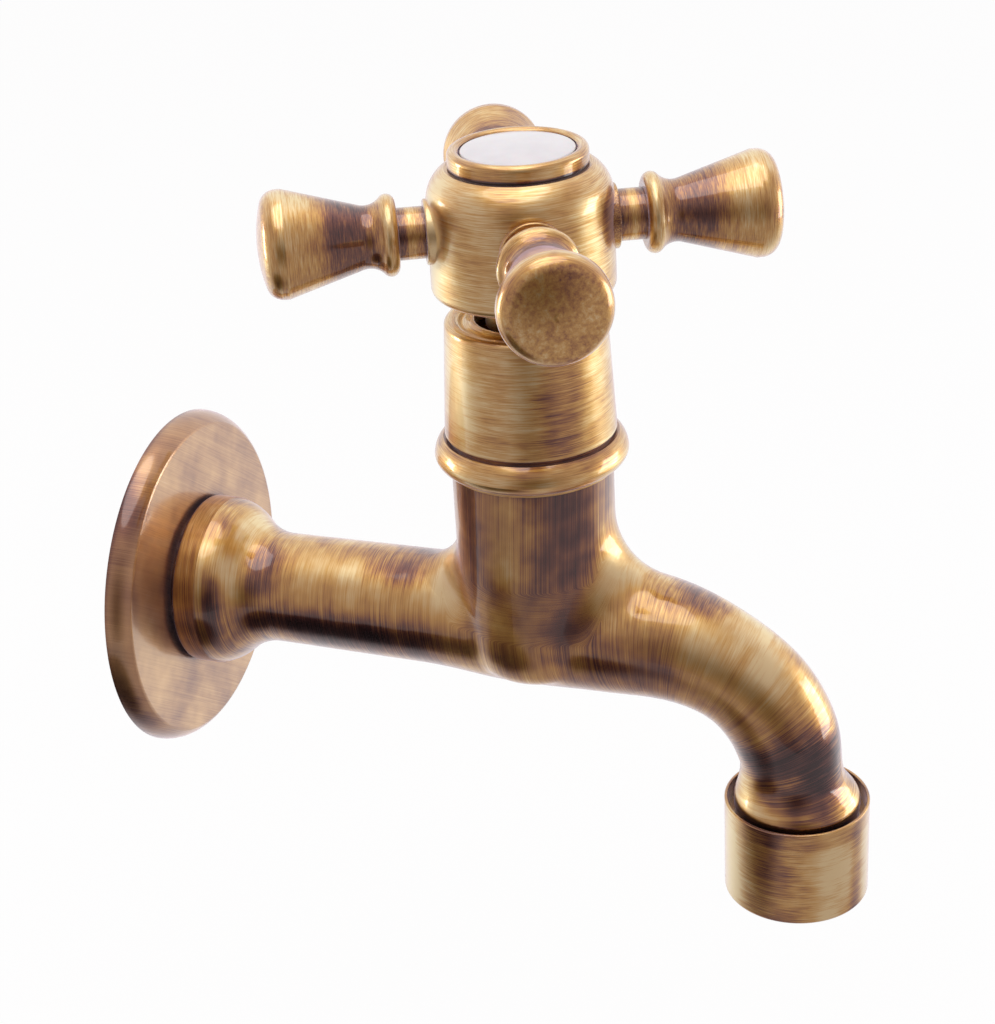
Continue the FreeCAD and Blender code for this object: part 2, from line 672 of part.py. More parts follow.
def column_collar():
    """Beaded trim ring on the column's shoulder, with a thin lip below and a groove under the bonnet."""
    lip_top = NECK_TOP + COLLAR_LIP
    groove_bottom = COLLAR_TOP - COLLAR_GROOVE
    groove_r = BONNET_R - COLLAR_GROOVE_DEPTH
    outline = Outline(COLLAR_BORE_R, NECK_TOP).line(COLLAR_FOOT_R, NECK_TOP).line(COLLAR_FOOT_R, lip_top)
    outline.arc(COLLAR_R, NECK_TOP + COLLAR_CREST_RISE, COLLAR_LOWER_BULGE)
    outline.arc(BONNET_R + COLLAR_SHOULDER, groove_bottom, COLLAR_UPPER_BULGE).line(groove_r, groove_bottom)
    outline.line(groove_r, COLLAR_TOP).line(COLLAR_BORE_R, COLLAR_TOP)
    return on_column(outline.turned())


def bonnet():
    """Tapered cover over the headwork, with an inner thread land and an open, lipped top."""
    land_r = BONNET_THREAD_R + THREAD_FIT
    inner_bottom = BONNET_R - BONNET_WALL
    inner_top = BONNET_TOP_R - BONNET_WALL
    ceiling = BONNET_TOP - BONNET_WALL - BONNET_TROUGH
    taper = (inner_top - inner_bottom) / (ceiling - COLLAR_TOP)
    land_bottom = HEX_TOP + 2 * RUNNING_FIT
    lip_r = BONNET_HOLE_R + BONNET_LIP
    rim_r = BONNET_TOP_R - 1.5 * BONNET_EDGE
    outline = Outline(inner_bottom, COLLAR_TOP).line(BONNET_R, COLLAR_TOP).line(BONNET_TOP_R, BONNET_TOP)
    outline.line(rim_r, BONNET_TOP).arc(lip_r, BONNET_TOP, -BONNET_TROUGH)
    outline.line(BONNET_HOLE_R, BONNET_TOP).line(BONNET_HOLE_R, ceiling).line(inner_top, ceiling)
    outline.line(inner_bottom + taper * (BONNET_THREAD_TOP - COLLAR_TOP), BONNET_THREAD_TOP)
    outline.line(land_r, BONNET_THREAD_TOP).line(land_r, land_bottom)
    outline.line(inner_bottom + taper * (land_bottom - COLLAR_TOP), land_bottom)
    shell = rounded(outline.turned(), BONNET_EDGE, (BONNET_TOP_R, BONNET_TOP))
    shell = rounded(shell, BONNET_FOOT_EDGE, (BONNET_R, COLLAR_TOP))
    return on_column(rounded(shell, BONNET_LIP_EDGE, (BONNET_HOLE_R, BONNET_TOP)))


def headwork_body():
    """Brass headwork: caged disc chamber, column thread, hexagon, bonnet thread and nose."""
    relief_bottom = SPIGOT_TOP - THREAD_RELIEF
    outline = Outline(CAGE_BORE_R, SEAT_LEVEL + CAGE_FOOT).line(CAGE_R, SEAT_LEVEL + CAGE_FOOT)
    outline.line(CAGE_R, CAGE_CEILING).line(HEADWORK_THREAD_R, CAGE_CEILING + THREAD_LEAD)
    outline.line(HEADWORK_THREAD_R, relief_bottom).line(THREAD_RELIEF_R, relief_bottom)
    outline.line(THREAD_RELIEF_R, HEX_TOP).line(BONNET_THREAD_R, HEX_TOP)
    outline.line(BONNET_THREAD_R, BONNET_THREAD_TOP).line(NOSE_R, BONNET_THREAD_TOP)
    outline.line(NOSE_R, HEADWORK_TOP - NOSE_CHAMFER).line(NOSE_R - NOSE_CHAMFER, HEADWORK_TOP)
    outline.line(SPINDLE_BORE_R, HEADWORK_TOP).line(SPINDLE_BORE_R, CAGE_CEILING)
    outline.line(CAGE_BORE_R, CAGE_CEILING)
    shell = outline.turned()
    nut = hexagon(HEX_ACROSS_FLATS, HEX_BOTTOM, HEX_TOP).common(cylinder(HEX_TURNED_R, HEX_BOTTOM, HEX_TOP))
    nut = nut.cut(cylinder(SPINDLE_BORE_R, HEX_BOTTOM, HEX_TOP))
    window_bottom = MOVING_DISC_BOTTOM + WINDOW_SILL
    windows = slab(WINDOW_WIDTH, 2 * CAGE_R + 2, window_bottom, window_bottom + WINDOW_HEIGHT)
    ear_slot = slab(2 * CAGE_R + 2, EAR_WIDTH + 2 * SLIP_FIT, SEAT_LEVEL, MOVING_DISC_BOTTOM)
    return on_column(shell.fuse(nut).cut(windows).cut(ear_slot))


def headwork_gasket():
    return on_column(tube(GASKET_R, GASKET_BORE_R, SPIGOT_TOP, HEX_BOTTOM))


def seat_seal():
    seal = tube(SEAL_R, SEAL_BORE_R, SEAT_LEVEL, FIXED_DISC_BOTTOM)
    return on_column(rounded(seal, SEAL_EDGE, (SEAL_R, SEAT_LEVEL)))


def port(angle):
    """Sector-shaped water port through a disc, centred on the given angle."""
    half = math.radians(PORT_ANGLE / 2)
    middle = math.radians(angle)

    def point(radius, turn):
        return Vector(radius * math.cos(middle + turn), radius * math.sin(middle + turn), 0)

    outer = Part.Arc(point(PORT_OUTER_R, -half), point(PORT_OUTER_R, 0), point(PORT_OUTER_R, half)).toShape()
    inner = Part.Arc(point(PORT_INNER_R, half), point(PORT_INNER_R, 0), point(PORT_INNER_R, -half)).toShape()
    sides = [Part.LineSegment(point(PORT_OUTER_R, turn), point(PORT_INNER_R, turn)).toShape()
             for turn in (-half, half)]
    face = Part.Face(Part.Wire(Part.__sortEdges__([outer, inner] + sides)))
    return face.extrude(Vector(0, 0, DISC_THICKNESS))


def ported_disc(radius, port_angle, bottom):
    disc = cylinder(radius, 0, DISC_THICKNESS)
    disc = disc.cut(port(port_angle)).cut(port(port_angle + 180))
    return disc.translated(Vector(0, 0, bottom))


def fixed_ceramic_disc():
    """Lower disc, keyed into the cage by two ears, with its ports at the front and back."""
    disc = ported_disc(DISC_R, 90, FIXED_DISC_BOTTOM)
    ears = slab(2 * (DISC_R + EAR_REACH), EAR_WIDTH, FIXED_DISC_BOTTOM, FIXED_DISC_TOP)
    ears = ears.cut(cylinder(DISC_R - EAR_ROOT, FIXED_DISC_BOTTOM, FIXED_DISC_TOP))
    return on_column(disc.fuse(ears).removeSplitter())


def fork(width, inner, top):
    """Two posts across the disc, opposite each other, that turn it."""
    posts = slab(width, 2 * DISC_R, MOVING_DISC_TOP - FORK_DEPTH, top)
    return posts.cut(cylinder(inner, MOVING_DISC_TOP - FORK_DEPTH, top))


def moving_ceramic_disc():
    """Upper disc, a quarter turn away from the lower one, so the tap is shut."""
    disc = ported_disc(DISC_R - DISC_PLAY, 0, MOVING_DISC_BOTTOM)
    notches = fork(FORK_WIDTH + 2 * NOTCH_FIT, FORK_INNER_R - NOTCH_FIT, MOVING_DISC_TOP + 1)
    return on_column(disc.cut(notches))


def spline_prism(bottom, top, clearance):
    """Straight-sided spline with its teeth spread evenly, grown by the clearance."""
    tip = SPLINE_R + clearance
    root = SPLINE_ROOT_R + clearance
    pitch = 2 * math.pi / SPLINE_TEETH
    flanks = [(root, 0.0), (root, 0.3), (tip, 0.45), (tip, 0.85)]
    points = []
    for tooth in range(SPLINE_TEETH):
        for radius, share in flanks:
            angle = (tooth + share) * pitch
            points.append(Vector(radius * math.cos(angle), radius * math.sin(angle), bottom))
    return Part.Face(Part.makePolygon(points + points[:1])).extrude(Vector(0, 0, top - bottom))


def groove_heights():
    """Middle heights of the spindle's two O-ring grooves."""
    lowest = CAGE_CEILING + O_RING_RISE
    return [lowest, lowest + O_RING_PITCH]


def spindle():
    """Turned spindle with a fork at its foot, O-ring and clip grooves and a splined, tapped end."""
    outline = Outline(0, FOOT_BOTTOM).line(FOOT_R, FOOT_BOTTOM).line(FOOT_R, FOOT_TOP)
    outline.line(SPINDLE_R, FOOT_TOP)
    groove_r = O_RING_CENTRE_R - O_RING_SECTION_R
    for height in groove_heights():
        low = height - O_RING_GROOVE_WIDTH / 2
        high = height + O_RING_GROOVE_WIDTH / 2
        outline.line(SPINDLE_R, low).line(groove_r, low).line(groove_r, high).line(SPINDLE_R, high)
    outline.line(SPINDLE_R, CLIP_BOTTOM).line(CLIP_GROOVE_R, CLIP_BOTTOM).line(CLIP_GROOVE_R, CLIP_TOP)
    outline.line(SPINDLE_R, CLIP_TOP).line(SPINDLE_R, SPLINE_BOTTOM).line(0, SPLINE_BOTTOM)
    shaft = outline.turned()
    legs = fork(FORK_WIDTH, FORK_INNER_R, FOOT_BOTTOM).common(cylinder(FOOT_R, SEAT_LEVEL, FOOT_BOTTOM))
    toothed = spline_prism(SPLINE_BOTTOM, SPINDLE_TOP, 0)
    tapped = cylinder(HANDLE_THREAD_R, SPINDLE_TOP - HANDLE_THREAD_DEPTH, SPINDLE_TOP)
    return on_column(shaft.fuse([legs, toothed]).cut(tapped))


def spindle_o_rings():
    rings = [Part.makeTorus(O_RING_CENTRE_R, O_RING_SECTION_R, Vector(0, 0, height))
             for height in groove_heights()]
    return on_column(Part.makeCompound(rings))


def spindle_clip():
    """Open retaining ring in the groove above the headwork."""
    clip = tube(CLIP_R, CLIP_GROOVE_R, CLIP_BOTTOM, CLIP_TOP)
    return on_column(clip.cut(slab(CLIP_OPENING, 2 * CLIP_R, CLIP_BOTTOM, CLIP_TOP, (0, CLIP_R))))


def friction_washer():
    return on_column(tube(FOOT_R, SPINDLE_BORE_R, FOOT_TOP, FOOT_TOP + WASHER_THICKNESS))


def arm_angles():
    return [FIRST_ARM_ANGLE + 360 / len(ARM_NAMES) * k for k in range(len(ARM_NAMES))]


def along_arm(shape, angle):
    """Lay a shape that was turned about Z along a handle arm."""
    copy = shape.copy()
    copy.rotate(Vector(0, 0, 0), Vector(0, 1, 0), 90)
    copy.rotate(Vector(0, 0, 0), Vector(0, 0, 1), angle)
    return on_column(copy.translated(Vector(0, 0, ARM_HEIGHT)))


def handle_hub():
    """Barrel of the cross handle: splined boss below, screw seat and index recess above."""
    outline = Outline(0, BOSS_BOTTOM).line(HUB_BOSS_R, BOSS_BOTTOM).line(HUB_BOSS_R, HUB_UNDERSIDE)
    outline.line(HUB_FOOT_R, HUB_UNDERSIDE).arc(HUB_R, HUB_UNDERSIDE + HUB_FOOT_HEIGHT, HUB_FOOT_BULGE)
    outline.line(HUB_R, HUB_SHOULDER).arc(HUB_TOP_R, HUB_TOP, HUB_SHOULDER_BULGE)
    outline.line(RECESS_R, HUB_TOP).line(RECESS_R, RECESS_FLOOR).line(COUNTERBORE_R, RECESS_FLOOR)
    outline.line(COUNTERBORE_R, SCREW_SEAT).line(SCREW_HOLE_R, SCREW_SEAT)
    outline.line(SCREW_HOLE_R, SPINDLE_TOP).line(0, SPINDLE_TOP)
    hub = on_column(rounded(outline.turned(), HUB_BOSS_EDGE, (HUB_BOSS_R, BOSS_BOTTOM)))
    hub = hub.cut(on_column(spline_prism(BOSS_BOTTOM, SPINDLE_TOP, SLIP_FIT)))
    boss = cylinder(ARM_BOSS_R, (COUNTERBORE_R + HUB_R) / 2, ARM_SEAT)
    boss = rounded(boss, ARM_BOSS_EDGE, (ARM_BOSS_R, ARM_SEAT))
    hole = cylinder(STUD_R + THREAD_FIT, ARM_SEAT - STUD_LENGTH - STUD_HOLE_CLEARANCE, ARM_SEAT)
    for angle in arm_angles():
        hub = hub.fuse(along_arm(boss, angle))
    for angle in arm_angles():
        hub = hub.cut(along_arm(hole, angle))
    return hub


def handle_arm(angle):
    """One arm: threaded stud, stem, bead, cone and domed end."""
    wrap = math.radians(BEAD_WRAP)
    bead_r = BEAD_R - BEAD_SECTION_R
    bead_start = ARM_SEAT + STEM_LENGTH
    bead_end_r = bead_r + BEAD_SECTION_R * math.sin(wrap)
    bead_end = bead_start + BEAD_SECTION_R * (1 - math.cos(wrap))
    cone_start = ARM_SEAT + CONE_START
    cone_end = cone_start + CONE_LENGTH
    tip_rim = cone_end + TIP_EDGE
    outline = Outline(0, ARM_SEAT - STUD_LENGTH).line(STUD_R, ARM_SEAT - STUD_LENGTH).line(STUD_R, ARM_SEAT)
    outline.line(STEM_R, ARM_SEAT).line(STEM_R, bead_start).line(bead_r, bead_start)
    outline.arc(bead_end_r, bead_end, BEAD_SECTION_R * (1 - math.cos(wrap / 2)))
    outline.arc(CONE_START_R, cone_start, -CONE_COVE).line(CONE_END_R, cone_end)
    outline.line(CONE_END_R, tip_rim).dome(TIP_DOME)
    arm = rounded(outline.turned(), TIP_EDGE, (CONE_END_R, tip_rim))
    return along_arm(arm, angle)


def handle_screw():
    """Socket screw that pulls the hub down onto the spindle."""
    head_top = SCREW_SEAT + SCREW_HEAD_HEIGHT
    shank = cylinder(SCREW_R, SCREW_SEAT - SCREW_LENGTH, SCREW_SEAT)
    head = rounded(cylinder(SCREW_HEAD_R, SCREW_SEAT, head_top), SCREW_HEAD_EDGE, (SCREW_HEAD_R, head_top))
    socket = hexagon(SCREW_SOCKET, head_top - SCREW_SOCKET_DEPTH, head_top)
    return on_column(shank.fuse(head).cut(socket))


def index_ring():
    """Rounded bezel whose skirt pushes into the hub and whose cup holds the disc."""
    skirt_bottom = HUB_TOP - BEZEL_SKIRT
    groove_top = HUB_TOP - INDEX_O_RING_DROP + INDEX_O_RING_R
    groove_bottom = groove_top - 2 * INDEX_O_RING_R
    groove_r = BEZEL_SKIRT_R - 2 * INDEX_O_RING_R
    cup_r = groove_r - BEZEL_SKIRT_WALL
    foot_r = BEZEL_R - BEZEL_UNDERCUT
    outline = Outline(0, INDEX_BOTTOM - BEZEL_FLOOR).line(cup_r, INDEX_BOTTOM - BEZEL_FLOOR)
    outline.line(cup_r, skirt_bottom).line(BEZEL_SKIRT_R, skirt_bottom).line(BEZEL_SKIRT_R, groove_bottom)
    outline.line(groove_r, groove_bottom).line(groove_r, groove_top).line(BEZEL_SKIRT_R, groove_top)
    outline.line(BEZEL_SKIRT_R, HUB_TOP).line(foot_r, HUB_TOP).line(foot_r, HUB_TOP + BEZEL_UNDERCUT)
    outline.line(BEZEL_R, HUB_TOP + BEZEL_UNDERCUT).line(BEZEL_R, BEZEL_TOP - BEZEL_OUTER_DROP)
    outline.arc(BEZEL_LIP_R, BEZEL_TOP - BEZEL_INNER_DROP, BEZEL_BULGE)
    outline.line(BEZEL_LIP_R, INDEX_BOTTOM).line(0, INDEX_BOTTOM)
    return on_column(outline.turned())


def index_o_ring():
    centre = Vector(0, 0, HUB_TOP - INDEX_O_RING_DROP)
    return on_column(Part.makeTorus(INDEX_O_RING_CENTRE_R, INDEX_O_RING_R, centre))


def index_disc():
    """White porcelain disc with a slight crown, bare of any mark."""
    edge_top = INDEX_BOTTOM + INDEX_EDGE_HEIGHT
    outline = Outline(0, INDEX_BOTTOM).line(INDEX_R, INDEX_BOTTOM).line(INDEX_R, edge_top).dome(INDEX_CROWN)
    return on_column(rounded(outline.turned(), INDEX_EDGE, (INDEX_R, edge_top)))


def aerator_sleeve():
    """Thin-walled housing, open at its top, that screws onto the outlet."""
    thread_top = SLEEVE_TOP - SLEEVE_RIM_DEPTH
    thread_bottom = OUTLET_END - SLEEVE_THREAD_RUNOUT
    thread_r = OUTLET_THREAD_R + THREAD_FIT
    bore_r = CARTRIDGE_R + SLIP_FIT
    outline = Outline(SLEEVE_LIP_R, SLEEVE_BOTTOM).line(SLEEVE_R, SLEEVE_BOTTOM).line(SLEEVE_R, SLEEVE_TOP)
    outline.line(SLEEVE_MOUTH_R, SLEEVE_TOP).line(SLEEVE_MOUTH_R, thread_top).line(thread_r, thread_top)
    outline.line(thread_r, thread_bottom).line(bore_r, thread_bottom)
    outline.line(bore_r, CARTRIDGE_BOTTOM).line(SLEEVE_LIP_R, CARTRIDGE_BOTTOM)
    sleeve = rounded(outline.turned(), SLEEVE_EDGE, (SLEEVE_R, SLEEVE_BOTTOM))
    return on_outlet(rounded(sleeve, SLEEVE_RIM_EDGE, (SLEEVE_R, SLEEVE_TOP), (SLEEVE_MOUTH_R, SLEEVE_TOP)))


def outlet_washer():
    return on_outlet(tube(CARTRIDGE_R, WASHER_BORE_R, CARTRIDGE_TOP, OUTLET_END))


def cell_centres(pitch, reach):
    """Centres of a honeycomb of cells that lie within a reach of the axis."""
    row_pitch = pitch * math.sqrt(3) / 2
    rows = int(reach / row_pitch) + 1
    centres = []
    for row in range(-rows, rows + 1):
        shift = pitch / 2 if row % 2 else 0
        for column in range(-rows - 1, rows + 2):
            x = column * pitch + shift
            y = row * row_pitch
            if math.hypot(x, y) <= reach:
                centres.append(Vector(x, y, 0))
    return centres


def perforated(radius, bottom, top, cell, pitch):
    """Disc with a honeycomb of six-sided holes, each with its corners towards its row gaps."""
    corner_reach = cell / math.sqrt(3)
    cutter = turned_about(hexagon(cell, bottom, top), 30)
    reach = radius - corner_reach - CELL_MARGIN
    holes = [cutter.translated(centre) for centre in cell_centres(pitch, reach)]
    return cylinder(radius, bottom, top).cut(Part.makeCompound(holes))


def aerator_cartridge():
    """Moulded cup, open at both ends, with an inner ledge at its foot that carries the screen."""
    outline = Outline(CARTRIDGE_LEDGE_R, CARTRIDGE_BOTTOM).line(CARTRIDGE_R, CARTRIDGE_BOTTOM)
    outline.line(CARTRIDGE_R, CARTRIDGE_TOP).line(CARTRIDGE_BORE_R, CARTRIDGE_TOP)
    outline.line(CARTRIDGE_BORE_R, SCREEN_BOTTOM).line(CARTRIDGE_LEDGE_R, SCREEN_BOTTOM)
    return on_outlet(outline.turned())


def aerator_screen():
    """Perforated disc that breaks the stream up."""
    return on_outlet(perforated(SCREEN_R, SCREEN_BOTTOM, SCREEN_TOP, SCREEN_CELL, SCREEN_PITCH))


def pieces():
    """Every piece of the tap by its node name."""
    nodes = {
        "tap_body": tap_body(),
        "wall_rosette": wall_rosette(),
        "column_collar": column_collar(),
        "bonnet": bonnet(),
        "headwork_body": headwork_body(),
        "headwork_gasket": headwork_gasket(),
        "seat_seal": seat_seal(),
        "fixed_ceramic_disc": fixed_ceramic_disc(),
        "moving_ceramic_disc": moving_ceramic_disc(),
        "spindle": spindle(),
        "spindle_o_rings": spindle_o_rings(),
        "spindle_clip": spindle_clip(),
        "friction_washer": friction_washer(),
        "handle_hub": handle_hub(),
        "handle_screw": handle_screw(),
        "index_ring": index_ring(),
        "index_o_ring": index_o_ring(),
        "index_disc": index_disc(),
        "aerator_sleeve": aerator_sleeve(),
        "outlet_washer": outlet_washer(),
        "aerator_cartridge": aerator_cartridge(),
        "aerator_screen": aerator_screen(),
    }
    for name, angle in zip(ARM_NAMES, arm_angles()):
        nodes["handle_arm_" + name] = handle_arm(angle)
    return nodes


os.makedirs("parts", exist_ok=True)
for node, shape in pieces().items():
    shape.exportStep("parts/" + node + ".step")
    print(node, "valid" if shape.isValid() else "NOT VALID", len(shape.Solids), round(shape.Volume, 1))
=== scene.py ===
import math

import bmesh
import bpy
from bpy.props import FloatProperty, FloatVectorProperty, PointerProperty
from mathutils import Matrix, Vector

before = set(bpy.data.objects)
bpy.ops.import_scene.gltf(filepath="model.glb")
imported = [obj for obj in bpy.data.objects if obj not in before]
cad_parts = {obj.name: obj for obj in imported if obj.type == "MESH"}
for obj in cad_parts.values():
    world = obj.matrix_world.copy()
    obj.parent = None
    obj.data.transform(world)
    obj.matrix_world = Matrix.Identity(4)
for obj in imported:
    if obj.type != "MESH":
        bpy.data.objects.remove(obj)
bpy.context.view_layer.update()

bl_info = {
    "name": "Antique brass basin tap",
    "version": (1, 0, 0),
    "blender": (4, 5, 0),
    "location": "View3D > Sidebar > Basin Tap",
    "description": "Finishes for a wall basin tap with a cross handle, and a small white studio",
    "category": "Object",
}

MM = 0.001
UP = Vector((0, 0, 1))
# Sockets of a mix node that mixes colours, which share their names with those for numbers.
MIX_FACTOR, MIX_FIRST, MIX_SECOND, MIX_RESULT = 0, 6, 7, 2

# Feet of the column's and the outlet's axes at the height of the inlet, and the column's radius.
COLUMN = Vector((0, -71.4, 0)) * MM
OUTLET = Vector((0, -118.9, 0)) * MM
COLUMN_R = 14.2 * MM
# The spout's bend: its radius and the distance of its centre from the wall. The centre lies one radius
# below the inlet's axis.
BEND_R = 30.0 * MM
BEND_REACH = 92.5 * MM
# The handle's arms: the height of their axes, the angle of the first in degrees from +X, and the distance
# of a flat end from the column's axis.
ARM_HEIGHT = 75.26 * MM
FIRST_ARM_ANGLE = -153.5
ARM_FACE = 42.3 * MM
# The arms in their order round the hub, each with its level between full stain (0) and bare gold (1).
ARMS = (("front", 0.46), ("right", 0.46), ("back", 0.36), ("left", 0.46))


def linear(colour):
    """Linear RGBA of an sRGB hex colour."""
    channels = [int(colour[k:k + 2], 16) / 255 for k in (1, 3, 5)]
    return tuple(c / 12.92 if c <= 0.04045 else ((c + 0.055) / 1.055) ** 2.4 for c in channels) + (1.0,)


def set_stops(elements, stops):
    """Give a colour ramp its stops, from (position, hex) pairs."""
    while len(elements) > 1:
        elements.remove(elements[-1])
    elements[0].position = stops[0][0]
    elements[0].color = linear(stops[0][1])
    for position, colour in stops[1:]:
        elements.new(position).color = linear(colour)


def add(tree, kind, sockets=None, stops=(), **settings):
    """Add a node with its settings and colour stops, and fill or link its input sockets."""
    node = tree.nodes.new(kind)
    for key, value in settings.items():
        setattr(node, key, value)
    for key, value in (sockets or {}).items():
        if isinstance(value, bpy.types.NodeSocket):
            tree.links.new(value, node.inputs[key])
        else:
            node.inputs[key].default_value = value
    if stops:
        set_stops(node.color_ramp.elements, stops)
    return node


def new_material(name):
    """An empty material and its node tree."""
    material = bpy.data.materials.new(name)
    material.use_nodes = True
    material.node_tree.nodes.clear()
    return material, material.node_tree


def dress(material, *nodes):
    """Give CAD nodes a finish in every material slot that they have."""
    for name in nodes:
        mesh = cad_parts[name].data
        if not mesh.materials:
            mesh.materials.append(material)
        for index in range(len(mesh.materials)):
            mesh.materials[index] = material


# A lay says how a piece was brushed. It gives three sockets or values: a direction or place that changes
# slowly on the way of a stroke, the distance across the strokes, and the distance into them.

def lathe_lay(tree, point, axis):
    """Directions round a lathe axis through a point, the height along it and the radius, in metres."""
    turn = Vector(axis).normalized().rotation_difference(UP)
    shift = -(turn.to_matrix() @ Vector(point))
    place = add(tree, "ShaderNodeTexCoord").outputs["Object"]
    placed = add(tree, "ShaderNodeMapping",
                 {"Vector": place, "Location": shift, "Rotation": turn.to_euler("XYZ")}).outputs[0]
    flat = add(tree, "ShaderNodeVectorMath", {0: placed, 1: (1, 1, 0)}, operation="MULTIPLY").outputs[0]
    radius = add(tree, "ShaderNodeVectorMath", {0: flat}, operation="LENGTH").outputs["Value"]
    around = add(tree, "ShaderNodeVectorMath", {0: flat}, operation="NORMALIZE").outputs[0]
    height = add(tree, "ShaderNodeSeparateXYZ", {0: placed}).outputs["Z"]
    return around, height, radius


def turned(point, axis=UP):
    """Lay of a piece polished on a lathe."""
    return lambda tree: lathe_lay(tree, point, axis)


# The plate's strokes are straight and stay alike for this far.
PLATE_SWEEP = Vector((35, 35, 35)) * MM
PLATE_ACROSS = Vector((0.6, 0, 0.8))


def plate_lay(tree):
    """Straight strokes over the wall plate."""
    place = add(tree, "ShaderNodeTexCoord").outputs["Object"]
    slow = add(tree, "ShaderNodeVectorMath", {0: place, 1: PLATE_SWEEP}, operation="DIVIDE").outputs[0]
    across = add(tree, "ShaderNodeVectorMath", {0: place, 1: PLATE_ACROSS}, operation="DOT_PRODUCT")
    return slow, across.outputs["Value"], 0.0


# The body's strokes stay alike for this far across and along it.
BODY_SWEEP = Vector((13, 80, 13)) * MM
# They fan out between these distances from the wall, where the spout starts to bend.
FAN_START, FAN_END = 80.0 * MM, 96.0 * MM
# They turn upright between these heights, and inside these distances from the column's axis.
UPRIGHT_START, UPRIGHT_END = 2.0 * MM, 13.0 * MM
COLUMN_FAR, COLUMN_NEAR = 17.5 * MM, 15.0 * MM


def body_lay(tree):
    """Strokes across the arm and the spout, and up and down the column."""
    place = add(tree, "ShaderNodeTexCoord").outputs["Object"]
    parts = add(tree, "ShaderNodeSeparateXYZ", {0: place}).outputs
    outward = add(tree, "ShaderNodeMath", {0: parts["Y"], 1: -1.0}, operation="MULTIPLY").outputs[0]
    # Across the bend the strokes fan out from the inside of the curve.
    forward = add(tree, "ShaderNodeMath", {0: outward, 1: BEND_REACH}, operation="SUBTRACT").outputs[0]
    above = add(tree, "ShaderNodeMath", {0: parts["Z"], 1: BEND_R}, operation="ADD").outputs[0]
    swing = add(tree, "ShaderNodeMath", {0: forward, 1: above}, operation="ARCTAN2").outputs[0]
    swept = add(tree, "ShaderNodeMath", {0: swing, 1: BEND_R, 2: BEND_REACH},
                operation="MULTIPLY_ADD").outputs[0]
    bend = add(tree, "ShaderNodeMapRange",
               {"Value": outward, "From Min": FAN_START, "From Max": FAN_END},
               interpolation_type="SMOOTHSTEP").outputs[0]
    length = add(tree, "ShaderNodeMix", {"Factor": bend, "A": outward, "B": swept},
                 data_type="FLOAT").outputs["Result"]
    # Upright strokes are counted round the column.
    about, _, radius = lathe_lay(tree, COLUMN, UP)
    turn = add(tree, "ShaderNodeSeparateXYZ", {0: about}).outputs
    bearing = add(tree, "ShaderNodeMath", {0: turn["X"], 1: turn["Y"]}, operation="ARCTAN2").outputs[0]
    round_column = add(tree, "ShaderNodeMath", {0: bearing, 1: COLUMN_R}, operation="MULTIPLY").outputs[0]
    high = add(tree, "ShaderNodeMapRange",
               {"Value": parts["Z"], "From Min": UPRIGHT_START, "From Max": UPRIGHT_END},
               interpolation_type="SMOOTHSTEP").outputs[0]
    near = add(tree, "ShaderNodeMapRange",
               {"Value": radius, "From Min": COLUMN_FAR, "From Max": COLUMN_NEAR},
               interpolation_type="SMOOTHSTEP").outputs[0]
    upright = add(tree, "ShaderNodeMath", {0: high, 1: near}, operation="MULTIPLY").outputs[0]
    along = add(tree, "ShaderNodeMix", {"Factor": upright, "A": length, "B": round_column},
                data_type="FLOAT").outputs["Result"]
    slow = add(tree, "ShaderNodeVectorMath", {0: place, 1: BODY_SWEEP}, operation="DIVIDE").outputs[0]
    return slow, along, 0.0


def strokes(tree, lay, rate, spacing, detail=3.0, phase=0.0):
    """Streaky noise on a lay's sockets.

    rate is how often a stroke changes on its way, spacing is the distance between strokes in metres, and
    phase picks another stretch of the noise.
    """
    slow, along, depth = lay
    counted = add(tree, "ShaderNodeMath", {0: along, 1: 1 / spacing, 2: phase},
                  operation="MULTIPLY_ADD").outputs[0]
    deep = add(tree, "ShaderNodeMath", {0: depth, 1: 1 / spacing}, operation="MULTIPLY").outputs[0]
    lifted = add(tree, "ShaderNodeCombineXYZ", {"Z": counted}).outputs[0]
    place = add(tree, "ShaderNodeVectorMath", {0: slow, 1: (rate, rate, rate), 2: lifted},
                operation="MULTIPLY_ADD").outputs[0]
    return add(tree, "ShaderNodeTexNoise",
               {"Vector": place, "W": deep, "Scale": 1.0, "Detail": detail, "Roughness": 0.6},
               noise_dimensions="4D").outputs["Fac"]


# The share of a ring's half width that has its full amount.
RING_CORE = 0.3
# A patch starts at the first share of its radii and has its full amount inside the second.
PATCH_RIM, PATCH_CORE = 1.35, 0.25


def ringed(tree, value, along, rings):
    """Add golden or dark rings, from (height along the lay, half width, amount), in millimetres."""
    for centre, half, amount in rings:
        away = add(tree, "ShaderNodeMath", {0: along, 1: centre * MM}, operation="SUBTRACT").outputs[0]
        away = add(tree, "ShaderNodeMath", {0: away}, operation="ABSOLUTE").outputs[0]
        near = add(tree, "ShaderNodeMapRange",
                   {"Value": away, "From Min": half * MM, "From Max": half * RING_CORE * MM, "To Min": 0.0,
                    "To Max": amount}, interpolation_type="SMOOTHSTEP").outputs[0]
        value = add(tree, "ShaderNodeMath", {0: value, 1: near}, operation="ADD").outputs[0]
    return value


